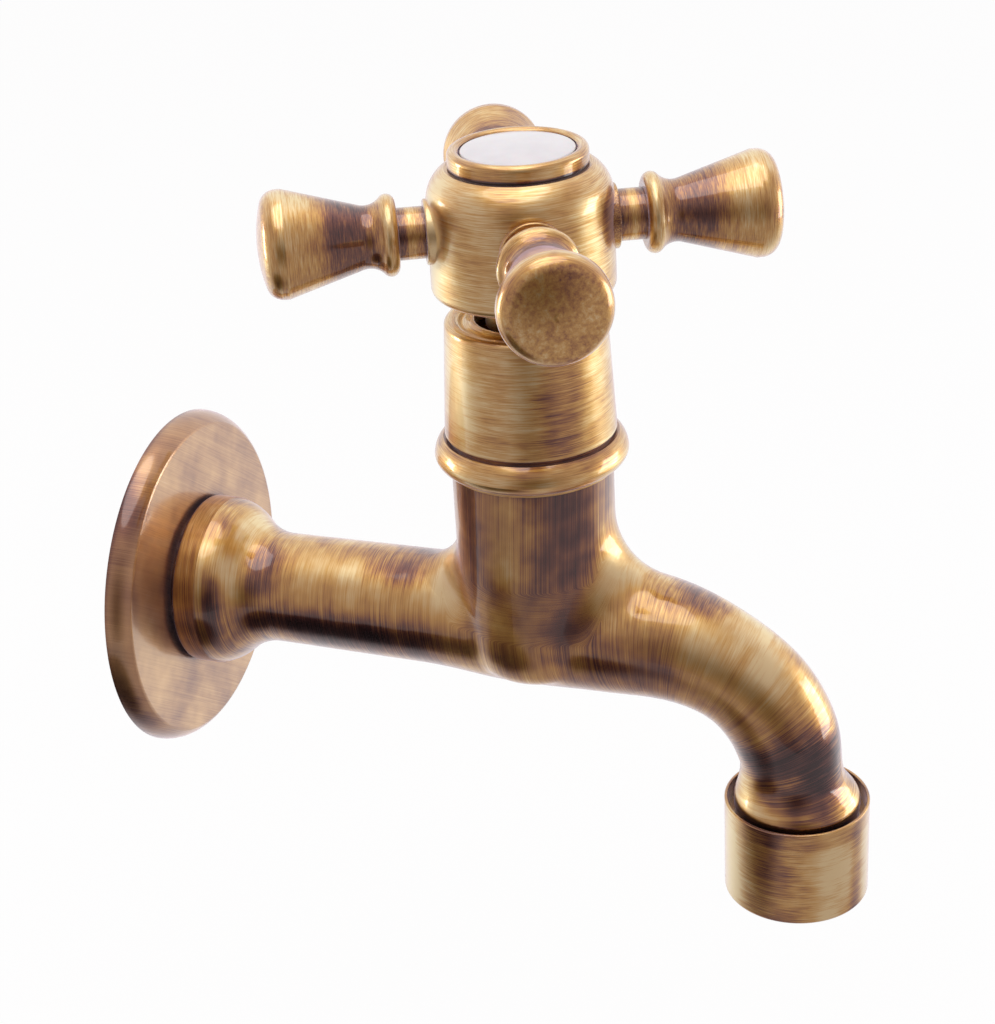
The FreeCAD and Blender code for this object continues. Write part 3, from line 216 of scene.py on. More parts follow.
def patched_stain_and_light(tree, value, place, ragged, patches):
    """Add soft patches of uneven stain and of painted highlight and shade, from (centre, radii, amount), in
    millimetres.
    """
    for centre, radii, amount in patches:
        offset = add(tree, "ShaderNodeVectorMath", {0: place, 1: Vector(centre) * MM},
                     operation="SUBTRACT").outputs[0]
        share = add(tree, "ShaderNodeVectorMath", {0: offset, 1: Vector(radii) * MM},
                    operation="DIVIDE").outputs[0]
        reach = add(tree, "ShaderNodeVectorMath", {0: share}, operation="LENGTH").outputs["Value"]
        frayed = add(tree, "ShaderNodeMath", {0: reach, 1: ragged}, operation="ADD").outputs[0]
        near = add(tree, "ShaderNodeMapRange",
                   {"Value": frayed, "From Min": PATCH_RIM, "From Max": PATCH_CORE, "To Min": 0.0,
                    "To Max": amount}, interpolation_type="SMOOTHSTEP").outputs[0]
        value = add(tree, "ShaderNodeMath", {0: value, 1: near}, operation="ADD").outputs[0]
    return value


def folded(tree, place):
    """A place with its right side folded onto its left."""
    parts = add(tree, "ShaderNodeSeparateXYZ", {0: place}).outputs
    width = add(tree, "ShaderNodeMath", {0: parts["X"]}, operation="ABSOLUTE").outputs[0]
    left = add(tree, "ShaderNodeMath", {0: width, 1: -1.0}, operation="MULTIPLY").outputs[0]
    return add(tree, "ShaderNodeCombineXYZ", {"X": left, "Y": parts["Y"], "Z": parts["Z"]}).outputs[0]


# Brass in an antique finish: stained plum-brown, brushed back to gold with abrasive and lacquered.
# The eye gets golden and plum strokes side by side, under a clear skin that mirrors its white surroundings.
# The tones run from full stain to bare gold.
STAIN = ((0.0, "#2B151B"), (0.18, "#54302F"), (0.36, "#80513E"), (0.54, "#B58047"), (0.74, "#DCAE5D"),
         (1.0, "#F6E0A6"))
# The plate's tones: the same stain at the dark end, and paler, pinker tones towards gold, which paint in the
# pale room that its face mirrors at a grazing angle.
PLATE_TONES_WITH_PAINTED_REFLECTION = ((0.0, "#2B151B"), (0.18, "#54302F"), (0.36, "#805342"), (0.54, "#B0825A"), (0.74, "#D6A974"),
        (1.0, "#F1DAB6"))
# Strokes of fine abrasive are about 0.05 mm apart. They are drawn at 0.18 mm, so that they show.
FINE_SPACING = 0.18 * MM
FINE_RATE = 3.0
# Broader streaks, where the pad pressed harder. They come from another stretch of the noise.
STREAK_SPACING = 0.8 * MM
STREAK_RATE = 1.3
STREAK_PHASE = 17
# Spots on an arm's flat end, which was dabbed and not brushed.
SPOT = 1.0 * MM
# How far the clouds of stain, beside the strokes, fray the edge of a patch.
FRAY = 0.4
# How far a corner darkens and how wide an edge is rubbed to bare gold, and by how much. The dark in a corner
# is partly stain that the pad left in the hollows and partly painted shade where pieces come close together.
CORNER_REACH = 2.0 * MM
CORNER_STAIN_AND_SHADE = 0.35
EDGE_REACH = 0.9 * MM
EDGE_RUB = 0.25
# Depth of the fine scratches, and of the slow waves in the lacquer.
SCRATCH_DEPTH = 0.02 * MM
WAVE_DEPTH = 0.15 * MM
# Clear lacquer has an IOR of about 1.5. It is raised here, so that the skin mirrors enough of the white room.
LACQUER_IOR = 1.8


def dabbed(tree, place, along, face, fine, streak):
    """Let the strokes give way to mottled spots past a height along the lay."""
    spots = add(tree, "ShaderNodeTexNoise",
                {"Vector": place, "Scale": 1 / SPOT, "Detail": 3.0, "Roughness": 0.7}).outputs["Fac"]
    flat = add(tree, "ShaderNodeMapRange",
               {"Value": along, "From Min": face - 0.3 * MM, "From Max": face + 0.2 * MM}).outputs[0]
    fine = add(tree, "ShaderNodeMix", {"Factor": flat, "A": fine, "B": spots}, data_type="FLOAT")
    streak = add(tree, "ShaderNodeMix", {"Factor": flat, "A": streak, "B": 0.5}, data_type="FLOAT")
    return fine.outputs["Result"], streak.outputs["Result"]


def shaded(tree, value, normal, under):
    """Painted shade: darken what faces down."""
    facing = add(tree, "ShaderNodeSeparateXYZ", {0: normal}).outputs["Z"]
    below = add(tree, "ShaderNodeMapRange",
                {"Value": facing, "From Min": 0.35, "From Max": -0.15, "To Min": 0.0, "To Max": -under},
                interpolation_type="SMOOTHSTEP").outputs[0]
    return add(tree, "ShaderNodeMath", {0: value, 1: below}, operation="ADD").outputs[0]


def worn_and_shaded(tree, value):
    """Darken corners, partly with stain that the pad can't reach and partly with painted shade where pieces
    come close together, and rub edges to bare gold.
    """
    corner = add(tree, "ShaderNodeAmbientOcclusion", {"Distance": CORNER_REACH}, samples=4,
                 only_local=False).outputs["AO"]
    kept_stain_and_shade = add(tree, "ShaderNodeMapRange",
               {"Value": corner, "From Min": 0.3, "From Max": 0.8, "To Min": -CORNER_STAIN_AND_SHADE,
                "To Max": 0.0}).outputs[0]
    edge = add(tree, "ShaderNodeAmbientOcclusion", {"Distance": EDGE_REACH}, samples=4, only_local=True,
               inside=True).outputs["AO"]
    rubbed = add(tree, "ShaderNodeMapRange",
                 {"Value": edge, "From Min": 0.45, "From Max": 0.95, "To Min": 0.0,
                  "To Max": EDGE_RUB}).outputs[0]
    value = add(tree, "ShaderNodeMath", {0: value, 1: kept_stain_and_shade}, operation="ADD").outputs[0]
    return add(tree, "ShaderNodeMath", {0: value, 1: rubbed}, operation="ADD").outputs[0]


def antique_brass(name, lay, brass, rings=(), patches=(), level=0.5, under=0.0, contrast=(0.7, 0.5, 1.0),
                  cloud=7.0, phase=0.0, face=None, haze=0.9, haze_colour=None, tones=STAIN,
                  both_sides=False):
    """Stained, brushed and lacquered brass whose strokes follow a lay.

    level is the middle between full stain (0) and bare gold (1), in the tones given. rings rub some places
    bright or leave them dark. patches add uneven stain, painted highlights and painted shade. The under
    amount paints shade on what faces down. contrast is the share of the clouds, the streaks and the fine
    strokes, cloud is the clouds' size in millimetres, and phase gives each piece strokes of its own. Past the
    height called face the strokes give way to a mottled end. haze is the weight of the pale sheen that shows
    along the contours, in a colour of its own or the common one. both_sides repeats the left side's patches
    on the right.
    """
    material, tree = new_material(name)
    sockets = lay(tree)
    along = sockets[1]
    coordinates = add(tree, "ShaderNodeTexCoord").outputs
    place = coordinates["Object"]
    fine = strokes(tree, sockets, FINE_RATE, FINE_SPACING, detail=4.0, phase=phase)
    streak = strokes(tree, sockets, STREAK_RATE, STREAK_SPACING, phase=phase + STREAK_PHASE)
    clouds = add(tree, "ShaderNodeTexNoise",
                 {"Vector": place, "Scale": 1 / (cloud * MM), "Detail": 2.0, "Roughness": 0.5}).outputs["Fac"]
    if face:
        fine, streak = dabbed(tree, place, along, face, fine, streak)
    # Noise has its middle at a half, so half of each share comes off the level first.
    value = level - 0.5 * sum(contrast)
    for source, share in zip((clouds, streak, fine), contrast):
        value = add(tree, "ShaderNodeMath", {0: source, 1: share, 2: value},
                    operation="MULTIPLY_ADD").outputs[0]
    value = ringed(tree, value, along, rings)
    # The edge of a patch follows the strokes and wanders with the clouds.
    wander = add(tree, "ShaderNodeMath", {0: clouds, 1: FRAY, 2: -0.5 * (1 + FRAY)},
                 operation="MULTIPLY_ADD").outputs[0]
    ragged = add(tree, "ShaderNodeMath", {0: fine, 1: wander}, operation="ADD").outputs[0]
    value = patched_stain_and_light(tree, value, folded(tree, place) if both_sides else place, ragged, patches)
    # Painted shade on what faces down.
    if under:
        value = shaded(tree, value, coordinates["Normal"], under)
    colour = add(tree, "ShaderNodeValToRGB", {"Fac": worn_and_shaded(tree, value)}, stops=tones).outputs["Color"]
    rough = add(tree, "ShaderNodeMapRange",
                {"Value": fine, "From Min": 0.2, "From Max": 0.8, "To Min": 0.46, "To Max": 0.28}).outputs[0]
    scratches = add(tree, "ShaderNodeBump", {"Height": fine, "Strength": 0.6, "Distance": SCRATCH_DEPTH})
    wave = add(tree, "ShaderNodeBump", {"Height": clouds, "Strength": 0.5, "Distance": WAVE_DEPTH})
    metal = add(tree, "ShaderNodeBsdfPrincipled",
                {"Base Color": colour, "Metallic": 1.0, "Roughness": rough, "Normal": scratches.outputs[0],
                 "Coat Weight": 1.0, "Coat Roughness": brass.lacquer_roughness, "Coat IOR": LACQUER_IOR,
                 "Coat Normal": wave.outputs[0], "Sheen Weight": haze, "Sheen Roughness": 0.3,
                 "Sheen Tint": tuple(haze_colour or brass.haze_colour)})
    add(tree, "ShaderNodeOutputMaterial", {"Surface": metal.outputs[0]})
    return material


def inner_brass(name):
    """Free-machining brass, turned and left bare: bright yellow with fine tool rings."""
    material, tree = new_material(name)
    # Tool rings are about 0.1 mm apart. They are drawn at 0.25 mm, so that they show.
    rings = strokes(tree, lathe_lay(tree, COLUMN, UP), rate=0.4, spacing=0.25 * MM, detail=2.0)
    colour = add(tree, "ShaderNodeValToRGB", {"Fac": rings},
                 stops=((0.25, "#B9924E"), (0.6, "#DDBB74"), (0.9, "#EFD598"))).outputs["Color"]
    rough = add(tree, "ShaderNodeMapRange", {"Value": rings, "To Min": 0.22, "To Max": 0.36})
    bump = add(tree, "ShaderNodeBump", {"Height": rings, "Strength": 0.5, "Distance": 0.03 * MM})
    metal = add(tree, "ShaderNodeBsdfPrincipled",
                {"Base Color": colour, "Metallic": 1.0, "Roughness": rough.outputs[0],
                 "Normal": bump.outputs[0]})
    add(tree, "ShaderNodeOutputMaterial", {"Surface": metal.outputs[0]})
    return material


def stainless(name):
    """Stainless steel wire and sheet, pickled: cool grey with a faint grain."""
    material, tree = new_material(name)
    place = add(tree, "ShaderNodeTexCoord").outputs["Object"]
    grain = add(tree, "ShaderNodeTexNoise",
                {"Vector": place, "Scale": 1 / (0.4 * MM), "Detail": 3.0}).outputs["Fac"]
    colour = add(tree, "ShaderNodeValToRGB", {"Fac": grain},
                 stops=((0.3, "#8E8F8E"), (0.7, "#BDBDBA"))).outputs["Color"]
    rough = add(tree, "ShaderNodeMapRange", {"Value": grain, "To Min": 0.25, "To Max": 0.42})
    bump = add(tree, "ShaderNodeBump", {"Height": grain, "Strength": 0.3, "Distance": 0.02 * MM})
    metal = add(tree, "ShaderNodeBsdfPrincipled",
                {"Base Color": colour, "Metallic": 1.0, "Roughness": rough.outputs[0],
                 "Normal": bump.outputs[0]})
    add(tree, "ShaderNodeOutputMaterial", {"Surface": metal.outputs[0]})
    return material


def glazed_porcelain(name):
    """White porcelain under a clear fired glaze: a bright, wet gloss over a faintly rippled surface."""
    material, tree = new_material(name)
    place = add(tree, "ShaderNodeTexCoord").outputs["Object"]
    ripple = add(tree, "ShaderNodeTexNoise",
                 {"Vector": place, "Scale": 1 / (3.5 * MM), "Detail": 1.0}).outputs["Fac"]
    colour = add(tree, "ShaderNodeValToRGB", {"Fac": ripple},
                 stops=((0.2, "#DEDEE1"), (0.8, "#E8E8EA"))).outputs["Color"]
    bump = add(tree, "ShaderNodeBump", {"Height": ripple, "Strength": 0.25, "Distance": 0.06 * MM})
    glaze = add(tree, "ShaderNodeBsdfPrincipled",
                {"Base Color": colour, "Roughness": 0.10, "IOR": 1.52, "Coat Weight": 0.6,
                 "Coat Roughness": 0.04, "Subsurface Weight": 0.08, "Subsurface Scale": 0.6 * MM,
                 "Normal": bump.outputs[0]})
    add(tree, "ShaderNodeOutputMaterial", {"Surface": glaze.outputs[0]})
    return material


def speckled(name, dark, light, size, roughness, height):
    """A moulded, sintered or pressed material with a grain of a given size and height in metres."""
    material, tree = new_material(name)
    place = add(tree, "ShaderNodeTexCoord").outputs["Object"]
    grain = add(tree, "ShaderNodeTexNoise",
                {"Vector": place, "Scale": 1 / size, "Detail": 4.0, "Roughness": 0.6}).outputs["Fac"]
    colour = add(tree, "ShaderNodeValToRGB", {"Fac": grain},
                 stops=((0.3, dark), (0.7, light))).outputs["Color"]
    rough = add(tree, "ShaderNodeMapRange",
                {"Value": grain, "To Min": roughness - 0.08, "To Max": roughness + 0.08})
    bump = add(tree, "ShaderNodeBump", {"Height": grain, "Strength": 0.4, "Distance": height})
    surface = add(tree, "ShaderNodeBsdfPrincipled",
                  {"Base Color": colour, "Roughness": rough.outputs[0], "Normal": bump.outputs[0]})
    add(tree, "ShaderNodeOutputMaterial", {"Surface": surface.outputs[0]})
    return material


class BrassFinish(bpy.types.PropertyGroup):
    """How far the antique finish is rubbed back, and the skin over it."""
    body_level: FloatProperty(name="Body level", description="From full stain (0) to bare gold (1)",
                              default=0.44, min=0.0, max=1.0, subtype="FACTOR")
    plate_level: FloatProperty(name="Plate level", description="From full stain (0) to bare gold (1)",
                               default=0.33, min=0.0, max=1.0, subtype="FACTOR")
    lacquer_roughness: FloatProperty(name="Lacquer roughness", description="Roughness of the clear lacquer",
                                     default=0.1, min=0.0, max=1.0, subtype="FACTOR")
    haze_colour: FloatVectorProperty(name="Haze colour", description="Colour of the haze along the contours",
                                     size=4, subtype="COLOR", default=linear("#EEDAEA"))
    plate_haze_colour: FloatVectorProperty(name="Plate haze colour",
                                           description="Colour of the haze over the wall plate",
                                           size=4, subtype="COLOR", default=linear("#EAD2E2"))


class StudioSizes(bpy.types.PropertyGroup):
    """Sizes and colours of the studio."""
    floor_drop: FloatProperty(name="Floor drop", description="How far the floor lies below the inlet's axis",
                              default=0.110, unit="LENGTH")
    floor_colour: FloatVectorProperty(name="Floor colour", description="Colour of the floor", size=4,
                                      subtype="COLOR", default=linear("#F6F6F6"))
    overhead_power: FloatProperty(name="Overhead power", description="Power of the overhead softbox",
                                  default=1.5, unit="POWER")
    window_power: FloatProperty(name="Window power", description="Power of the narrow window on the left",
                                default=1.4, unit="POWER")
    side_power: FloatProperty(name="Side power", description="Power of the softbox on the right",
                              default=2.0, unit="POWER")


# Places on the pieces that are darker or more golden than the rest: centre, radii and amount. Some are
# uneven stain; others are painted highlights and painted shade where the metal mirrors light or dark
# surroundings. Rings are given by their height along the lathe's axis, half width and amount. Sizes are in
# millimetres.
BODY_PATCHES = (
    # The flare and the groove behind it.
    ((-3, -15.5, 11.8), (6, 2.5, 5), 0.24),
    ((-4, -10.3, 15), (5, 1.8, 4), -0.15),
    ((-10.6, -15.4, 6.2), (4, 2.2, 6), 0.20),
    ((-13.2, -12.6, 4), (4, 2, 5), -0.22),
    ((-14.6, -12, -1), (4, 2, 5), -0.24),
    ((-13.1, -14.6, -3), (3, 1.6, 4), 0.14),
    ((-13, -8.5, 2), (6, 1.4, 12), -0.15),
    # The arm.
    ((-7.2, -20, 7.6), (6, 3.8, 6), -0.34),
    ((-8, -27, 6.3), (5, 6, 4), 0.12),
    ((-6.3, -39, 8.2), (5, 9, 4), 0.12),
    ((-1, -48, 10.4), (8, 8, 4), -0.36),
    # Painted shade along the arm's underside.
    ((-10, -34, -3), (5, 22, 5), -0.34),
    ((-6.4, -55.8, 9.3), (6, 4.5, 8), 0.34),
    # The column.
    ((-12.3, -63.5, 22), (4, 2.6, 16), -0.20),
    ((-14, -70, 22), (4, 3.2, 14), 0.12),
    # Painted shade: a dark reflection down the column, on its side toward the spout.
    ((-10.5, -80.5, 22), (6.5, 7, 16), -0.33),
    ((-5, -85, 30), (7, 4, 8), -0.14),
    ((-12, -82, 4), (6, 8, 6), -0.14),
    ((-14, -69, 5), (5, 6, 5), 0.10),
    ((-11, -72, -6), (8, 12, 4), 0.10),
    # The spout.
    ((-10, -92, 1), (5, 9, 7), -0.12),
    ((-3, -88, 14.8), (6, 4.5, 5), 0.30),
    ((1, -100, 9), (7, 9, 4), -0.38),
    ((-5, -112, 2), (8, 12, 7), 0.24),
    ((-9.4, -107, -9), (6, 7, 6), 0.20),
    # The neck over the aerator.
    ((-6, -121, -17.5), (12, 11, 5.5), -0.54),
    ((-6.5, -111, -25), (5, 3, 5), 0.14),
    ((-10, -115.4, -28), (5, 5, 1.6), 0.24),
    ((-6, -123, -25.5), (9, 7, 5), -0.42),
)
PLATE_PATCHES = (
    ((0, 0, 0), (90, 3.4, 90), -0.04),
    ((-31.5, -1.5, 5), (4, 4, 12), 0.14),
    ((-22, -1.5, 23), (9, 3.5, 9), -0.18),
    ((-25, -1.5, -20), (8, 3.5, 10), -0.18),
    ((-23, -4.8, 0), (6, 1.8, 26), 0.16),
)
COLLAR_RINGS = ((32.0, 0.5, 0.25), (34.2, 1.6, 0.12), (37.8, 1.4, -0.10))
BONNET_RINGS = ((38.6, 0.4, 0.20), (40.8, 2.6, -0.12))
BONNET_PATCHES = (
    # Painted shade on the side toward the spout, and a painted highlight on the side toward the wall.
    ((-11, -81, 48), (6, 4, 14), -0.22),
    ((-11, -63, 48), (6, 5, 14), 0.18),
)
HUB_PATCHES = (
    ((0, -87, 78), (5, 3, 7), -0.24),
    # A painted highlight on the hub's side toward the wall.
    ((-9, -60.5, 74), (5, 5, 12), 0.36),
)
ARM_RINGS = ((22.2, 1.6, 0.14), (20.0, 1.2, -0.28), (28.5, 6.5, -0.36), (16.5, 2.0, -0.16), (38.5, 4.5, 0.06))
BEZEL_RINGS = ((85.8, 0.6, -0.50),)
SLEEVE_PATCHES = (
    # A painted highlight on the sleeve's side toward the wall.
    ((-7.7, -108.4, -40), (5, 4, 18), 0.36),
    ((-12.7, -118, -40), (5, 5, 16), -0.22),
    ((-9.3, -128, -40), (4.5, 4, 16), 0.29),
    ((-5, -130.9, -40), (1.8, 1.8, 16), -0.24),
    ((0.3, -132, -40), (3.5, 2, 18), 0.30),
)


class BASINTAP_OT_cast_body(bpy.types.Operator):
    """Finish the cast body: arm, column, spout and inlet"""
    bl_idname = "basintap.cast_body"
    bl_label = "Cast body"

    def execute(self, context):
        brass = context.scene.basin_tap_brass
        # The body gets painted shade on what faces down, and painted highlights and painted shade among its
        # patches.
        finish = antique_brass("brass_brushed_body", body_lay, brass, patches=BODY_PATCHES,
                               level=brass.body_level, under=0.20, contrast=(0.8, 0.5, 0.8),
                               both_sides=True)
        dress(finish, "tap_body")
        return {"FINISHED"}


class BASINTAP_OT_wall_rosette(bpy.types.Operator):
    """Finish the spun wall plate"""
    bl_idname = "basintap.wall_rosette"
    bl_label = "Wall plate"

    def execute(self, context):
        brass = context.scene.basin_tap_brass
        finish = antique_brass("brass_spun_plate", plate_lay, brass, patches=PLATE_PATCHES,
                               level=brass.plate_level, contrast=(0.60, 0.14, 0.32), cloud=8.0, haze=1.0,
                               haze_colour=brass.plate_haze_colour, tones=PLATE_TONES_WITH_PAINTED_REFLECTION)
        dress(finish, "wall_rosette")
        return {"FINISHED"}


class BASINTAP_OT_column_trim(bpy.types.Operator):
    """Finish the collar ring and the bonnet"""
    bl_idname = "basintap.column_trim"
    bl_label = "Collar and bonnet"

    def execute(self, context):
        brass = context.scene.basin_tap_brass
        dress(antique_brass("brass_turned_collar", turned(COLUMN), brass, COLLAR_RINGS, level=0.46,
                            phase=3.0), "column_collar")
        dress(antique_brass("brass_turned_bonnet", turned(COLUMN), brass, BONNET_RINGS, BONNET_PATCHES,
                            level=0.53, phase=8.0), "bonnet")
        return {"FINISHED"}


class BASINTAP_OT_handle(bpy.types.Operator):
    """Finish the handle's hub and its arms"""
    bl_idname = "basintap.handle"
    bl_label = "Cross handle"

    def execute(self, context):
        brass = context.scene.basin_tap_brass
        dress(antique_brass("brass_turned_hub", turned(COLUMN), brass, patches=HUB_PATCHES, level=0.54,
                            phase=12.0), "handle_hub")
        centre = COLUMN + UP * ARM_HEIGHT
        for index, (arm, level) in enumerate(ARMS):
            angle = math.radians(FIRST_ARM_ANGLE + 90 * index)
            axis = Vector((math.cos(angle), math.sin(angle), 0))
            finish = antique_brass("brass_turned_arm_" + arm, turned(centre, axis), brass, ARM_RINGS,
                                   level=level, phase=20.0 + 7 * index, face=ARM_FACE)
            dress(finish, "handle_arm_" + arm)
        dress(stainless("steel_bright_screw"), "handle_screw")
        return {"FINISHED"}


class BASINTAP_OT_index(bpy.types.Operator):
    """Finish the bezel and the white porcelain disc"""
    bl_idname = "basintap.index"
    bl_label = "Index disc"

    def execute(self, context):
        brass = context.scene.basin_tap_brass
        dress(antique_brass("brass_turned_bezel", turned(COLUMN), brass, BEZEL_RINGS, phase=31.0),
              "index_ring")
        dress(glazed_porcelain("porcelain_glazed_white"), "index_disc")
        return {"FINISHED"}


class BASINTAP_OT_aerator(bpy.types.Operator):
    """Finish the aerator's housing and what it holds"""
    bl_idname = "basintap.aerator"
    bl_label = "Aerator"

    def execute(self, context):
        brass = context.scene.basin_tap_brass
        dress(antique_brass("brass_turned_sleeve", turned(OUTLET), brass, patches=SLEEVE_PATCHES, level=0.52,
                            phase=42.0), "aerator_sleeve")
        # Acetal, moulded: pale and slightly waxy.
        dress(speckled("acetal_moulded_grey", "#C4C7C8", "#D6D8D8", size=0.8 * MM, roughness=0.45,
                       height=0.02 * MM), "aerator_cartridge")
        dress(stainless("steel_perforated_screen"), "aerator_screen")
        return {"FINISHED"}


class BASINTAP_OT_headwork(bpy.types.Operator):
    """Finish the ceramic disc headwork and the seals inside the tap"""
    bl_idname = "basintap.headwork"
    bl_label = "Headwork and seals"

    def execute(self, context):
        dress(inner_brass("brass_turned_bare"), "headwork_body", "spindle")
        dress(stainless("steel_stamped_clip"), "spindle_clip")
        # Alumina, sintered and lapped: cream and dense, with a dull sheen.
        dress(speckled("alumina_lapped_cream", "#E4DDCB", "#EFEADC", size=0.5 * MM, roughness=0.28,
                       height=0.01 * MM), "fixed_ceramic_disc", "moving_ceramic_disc")
        # Nitrile rubber, moulded: black with a soft grey bloom.
        dress(speckled("nitrile_moulded_black", "#0E0E0E", "#1C1C1B", size=1.2 * MM, roughness=0.62,
                       height=0.02 * MM), "seat_seal", "spindle_o_rings", "index_o_ring", "outlet_washer")
        # Vulcanised fibre, stamped from sheet: brick red with a felted grain.
        dress(speckled("fibre_stamped_red", "#5A2119", "#7C3024", size=0.6 * MM, roughness=0.75,
                       height=0.04 * MM), "headwork_gasket")
        # Fluoropolymer, skived: white and slippery.
        dress(speckled("fluoropolymer_skived_white", "#DAD9D2", "#E8E7E2", size=0.9 * MM, roughness=0.35,
                       height=0.01 * MM), "friction_washer")
        return {"FINISHED"}


# The camera: its place, its axes, and its focal length for a picture of this height, in pixels.
CAMERA_PLACE = Vector((-0.334970, -0.193545, 0.198182))
CAMERA_RIGHT = Vector((0.33604593, -0.94047912, -0.05071643))
CAMERA_UP = Vector((0.43286534, 0.10639623, 0.89515778))
CAMERA_BACK = Vector((-0.83648116, -0.32276751, 0.44285483))
FOCAL_PIXELS = 2250
PICTURE_HEIGHT = 1024
SENSOR = 36.0
# The level direction from the tap to the camera.
VIEWER_SIDE = Vector((-0.933, -0.360, 0.0))
# The lamps' places, from the middle of the tap, and their widths and heights, in metres.
TAP_MIDDLE = Vector((0, -0.075, 0.03))
OVERHEAD_PLACE = Vector((-0.10, 0.0, 0.65))
OVERHEAD_SIZE = (0.70, 0.60)
WINDOW_PLACE = CAMERA_RIGHT * -0.60 - VIEWER_SIDE * 0.20 - UP * 0.15
WINDOW_SIZE = (0.16, 0.50)
SIDE_PLACE = CAMERA_RIGHT * 0.60 - VIEWER_SIDE * 0.05 - UP * 0.10
SIDE_SIZE = (0.34, 0.60)
# The floor starts this far in front of the column and reaches this far behind it and to each side.
FLOOR_FRONT = 0.30
FLOOR_REACH = 4.0
# The share of white in what the lens sees of the floor. The rest is the lit floor with the shadow.
FLOOR_WHITE = 0.94
# The metal sees the floor glow in painted light: bright behind the tap and dim in front. One turns into
# the other within this distance of the line through the inlet.
FLOOR_BRIGHT, FLOOR_DIM = "#FFFFFF", "#B8ACAC"
BORDER = 60.0 * MM
# It also sees the viewer's dark shadow on the floor beside the tap, with a soft rim outside its core.
SHADE_PLACE = Vector((-0.130, 0.020, -0.110))
SHADE_RADIUS = 0.12
SHADE_CORE = 0.6
SHADE_COLOUR = "#2E2523"
# The room that the metal sees, from behind the tap to behind the viewer.
ROOM = ((0.0, "#FFFFFF"), (0.30, "#F8F0F4"), (0.42, "#DCCFD6"), (0.56, "#C4B6B8"), (0.90, "#B8AAAB"),
        (0.97, "#8A7E7E"), (1.0, "#4A4243"))


def card(name, material, corners):
    """A flat stage card with the given corners."""
    shape = bmesh.new()
    shape.faces.new([shape.verts.new(corner) for corner in corners])
    mesh = bpy.data.meshes.new(name)
    shape.to_mesh(mesh)
    shape.free()
    thing = bpy.data.objects.new(name, mesh)
    bpy.context.collection.objects.link(thing)
    mesh.materials.append(material)


def softbox(name, place, size, power, shape="RECTANGLE"):
    """An area lamp that aims at the middle of the tap."""
    lamp = bpy.data.lights.new(name, "AREA")
    lamp.shape = shape
    lamp.size, lamp.size_y = size
    lamp.energy = power
    thing = bpy.data.objects.new(name, lamp)
    bpy.context.collection.objects.link(thing)
    aim = (TAP_MIDDLE - place).to_track_quat("-Z", "Z")
    thing.matrix_world = Matrix.Translation(place) @ aim.to_matrix().to_4x4()


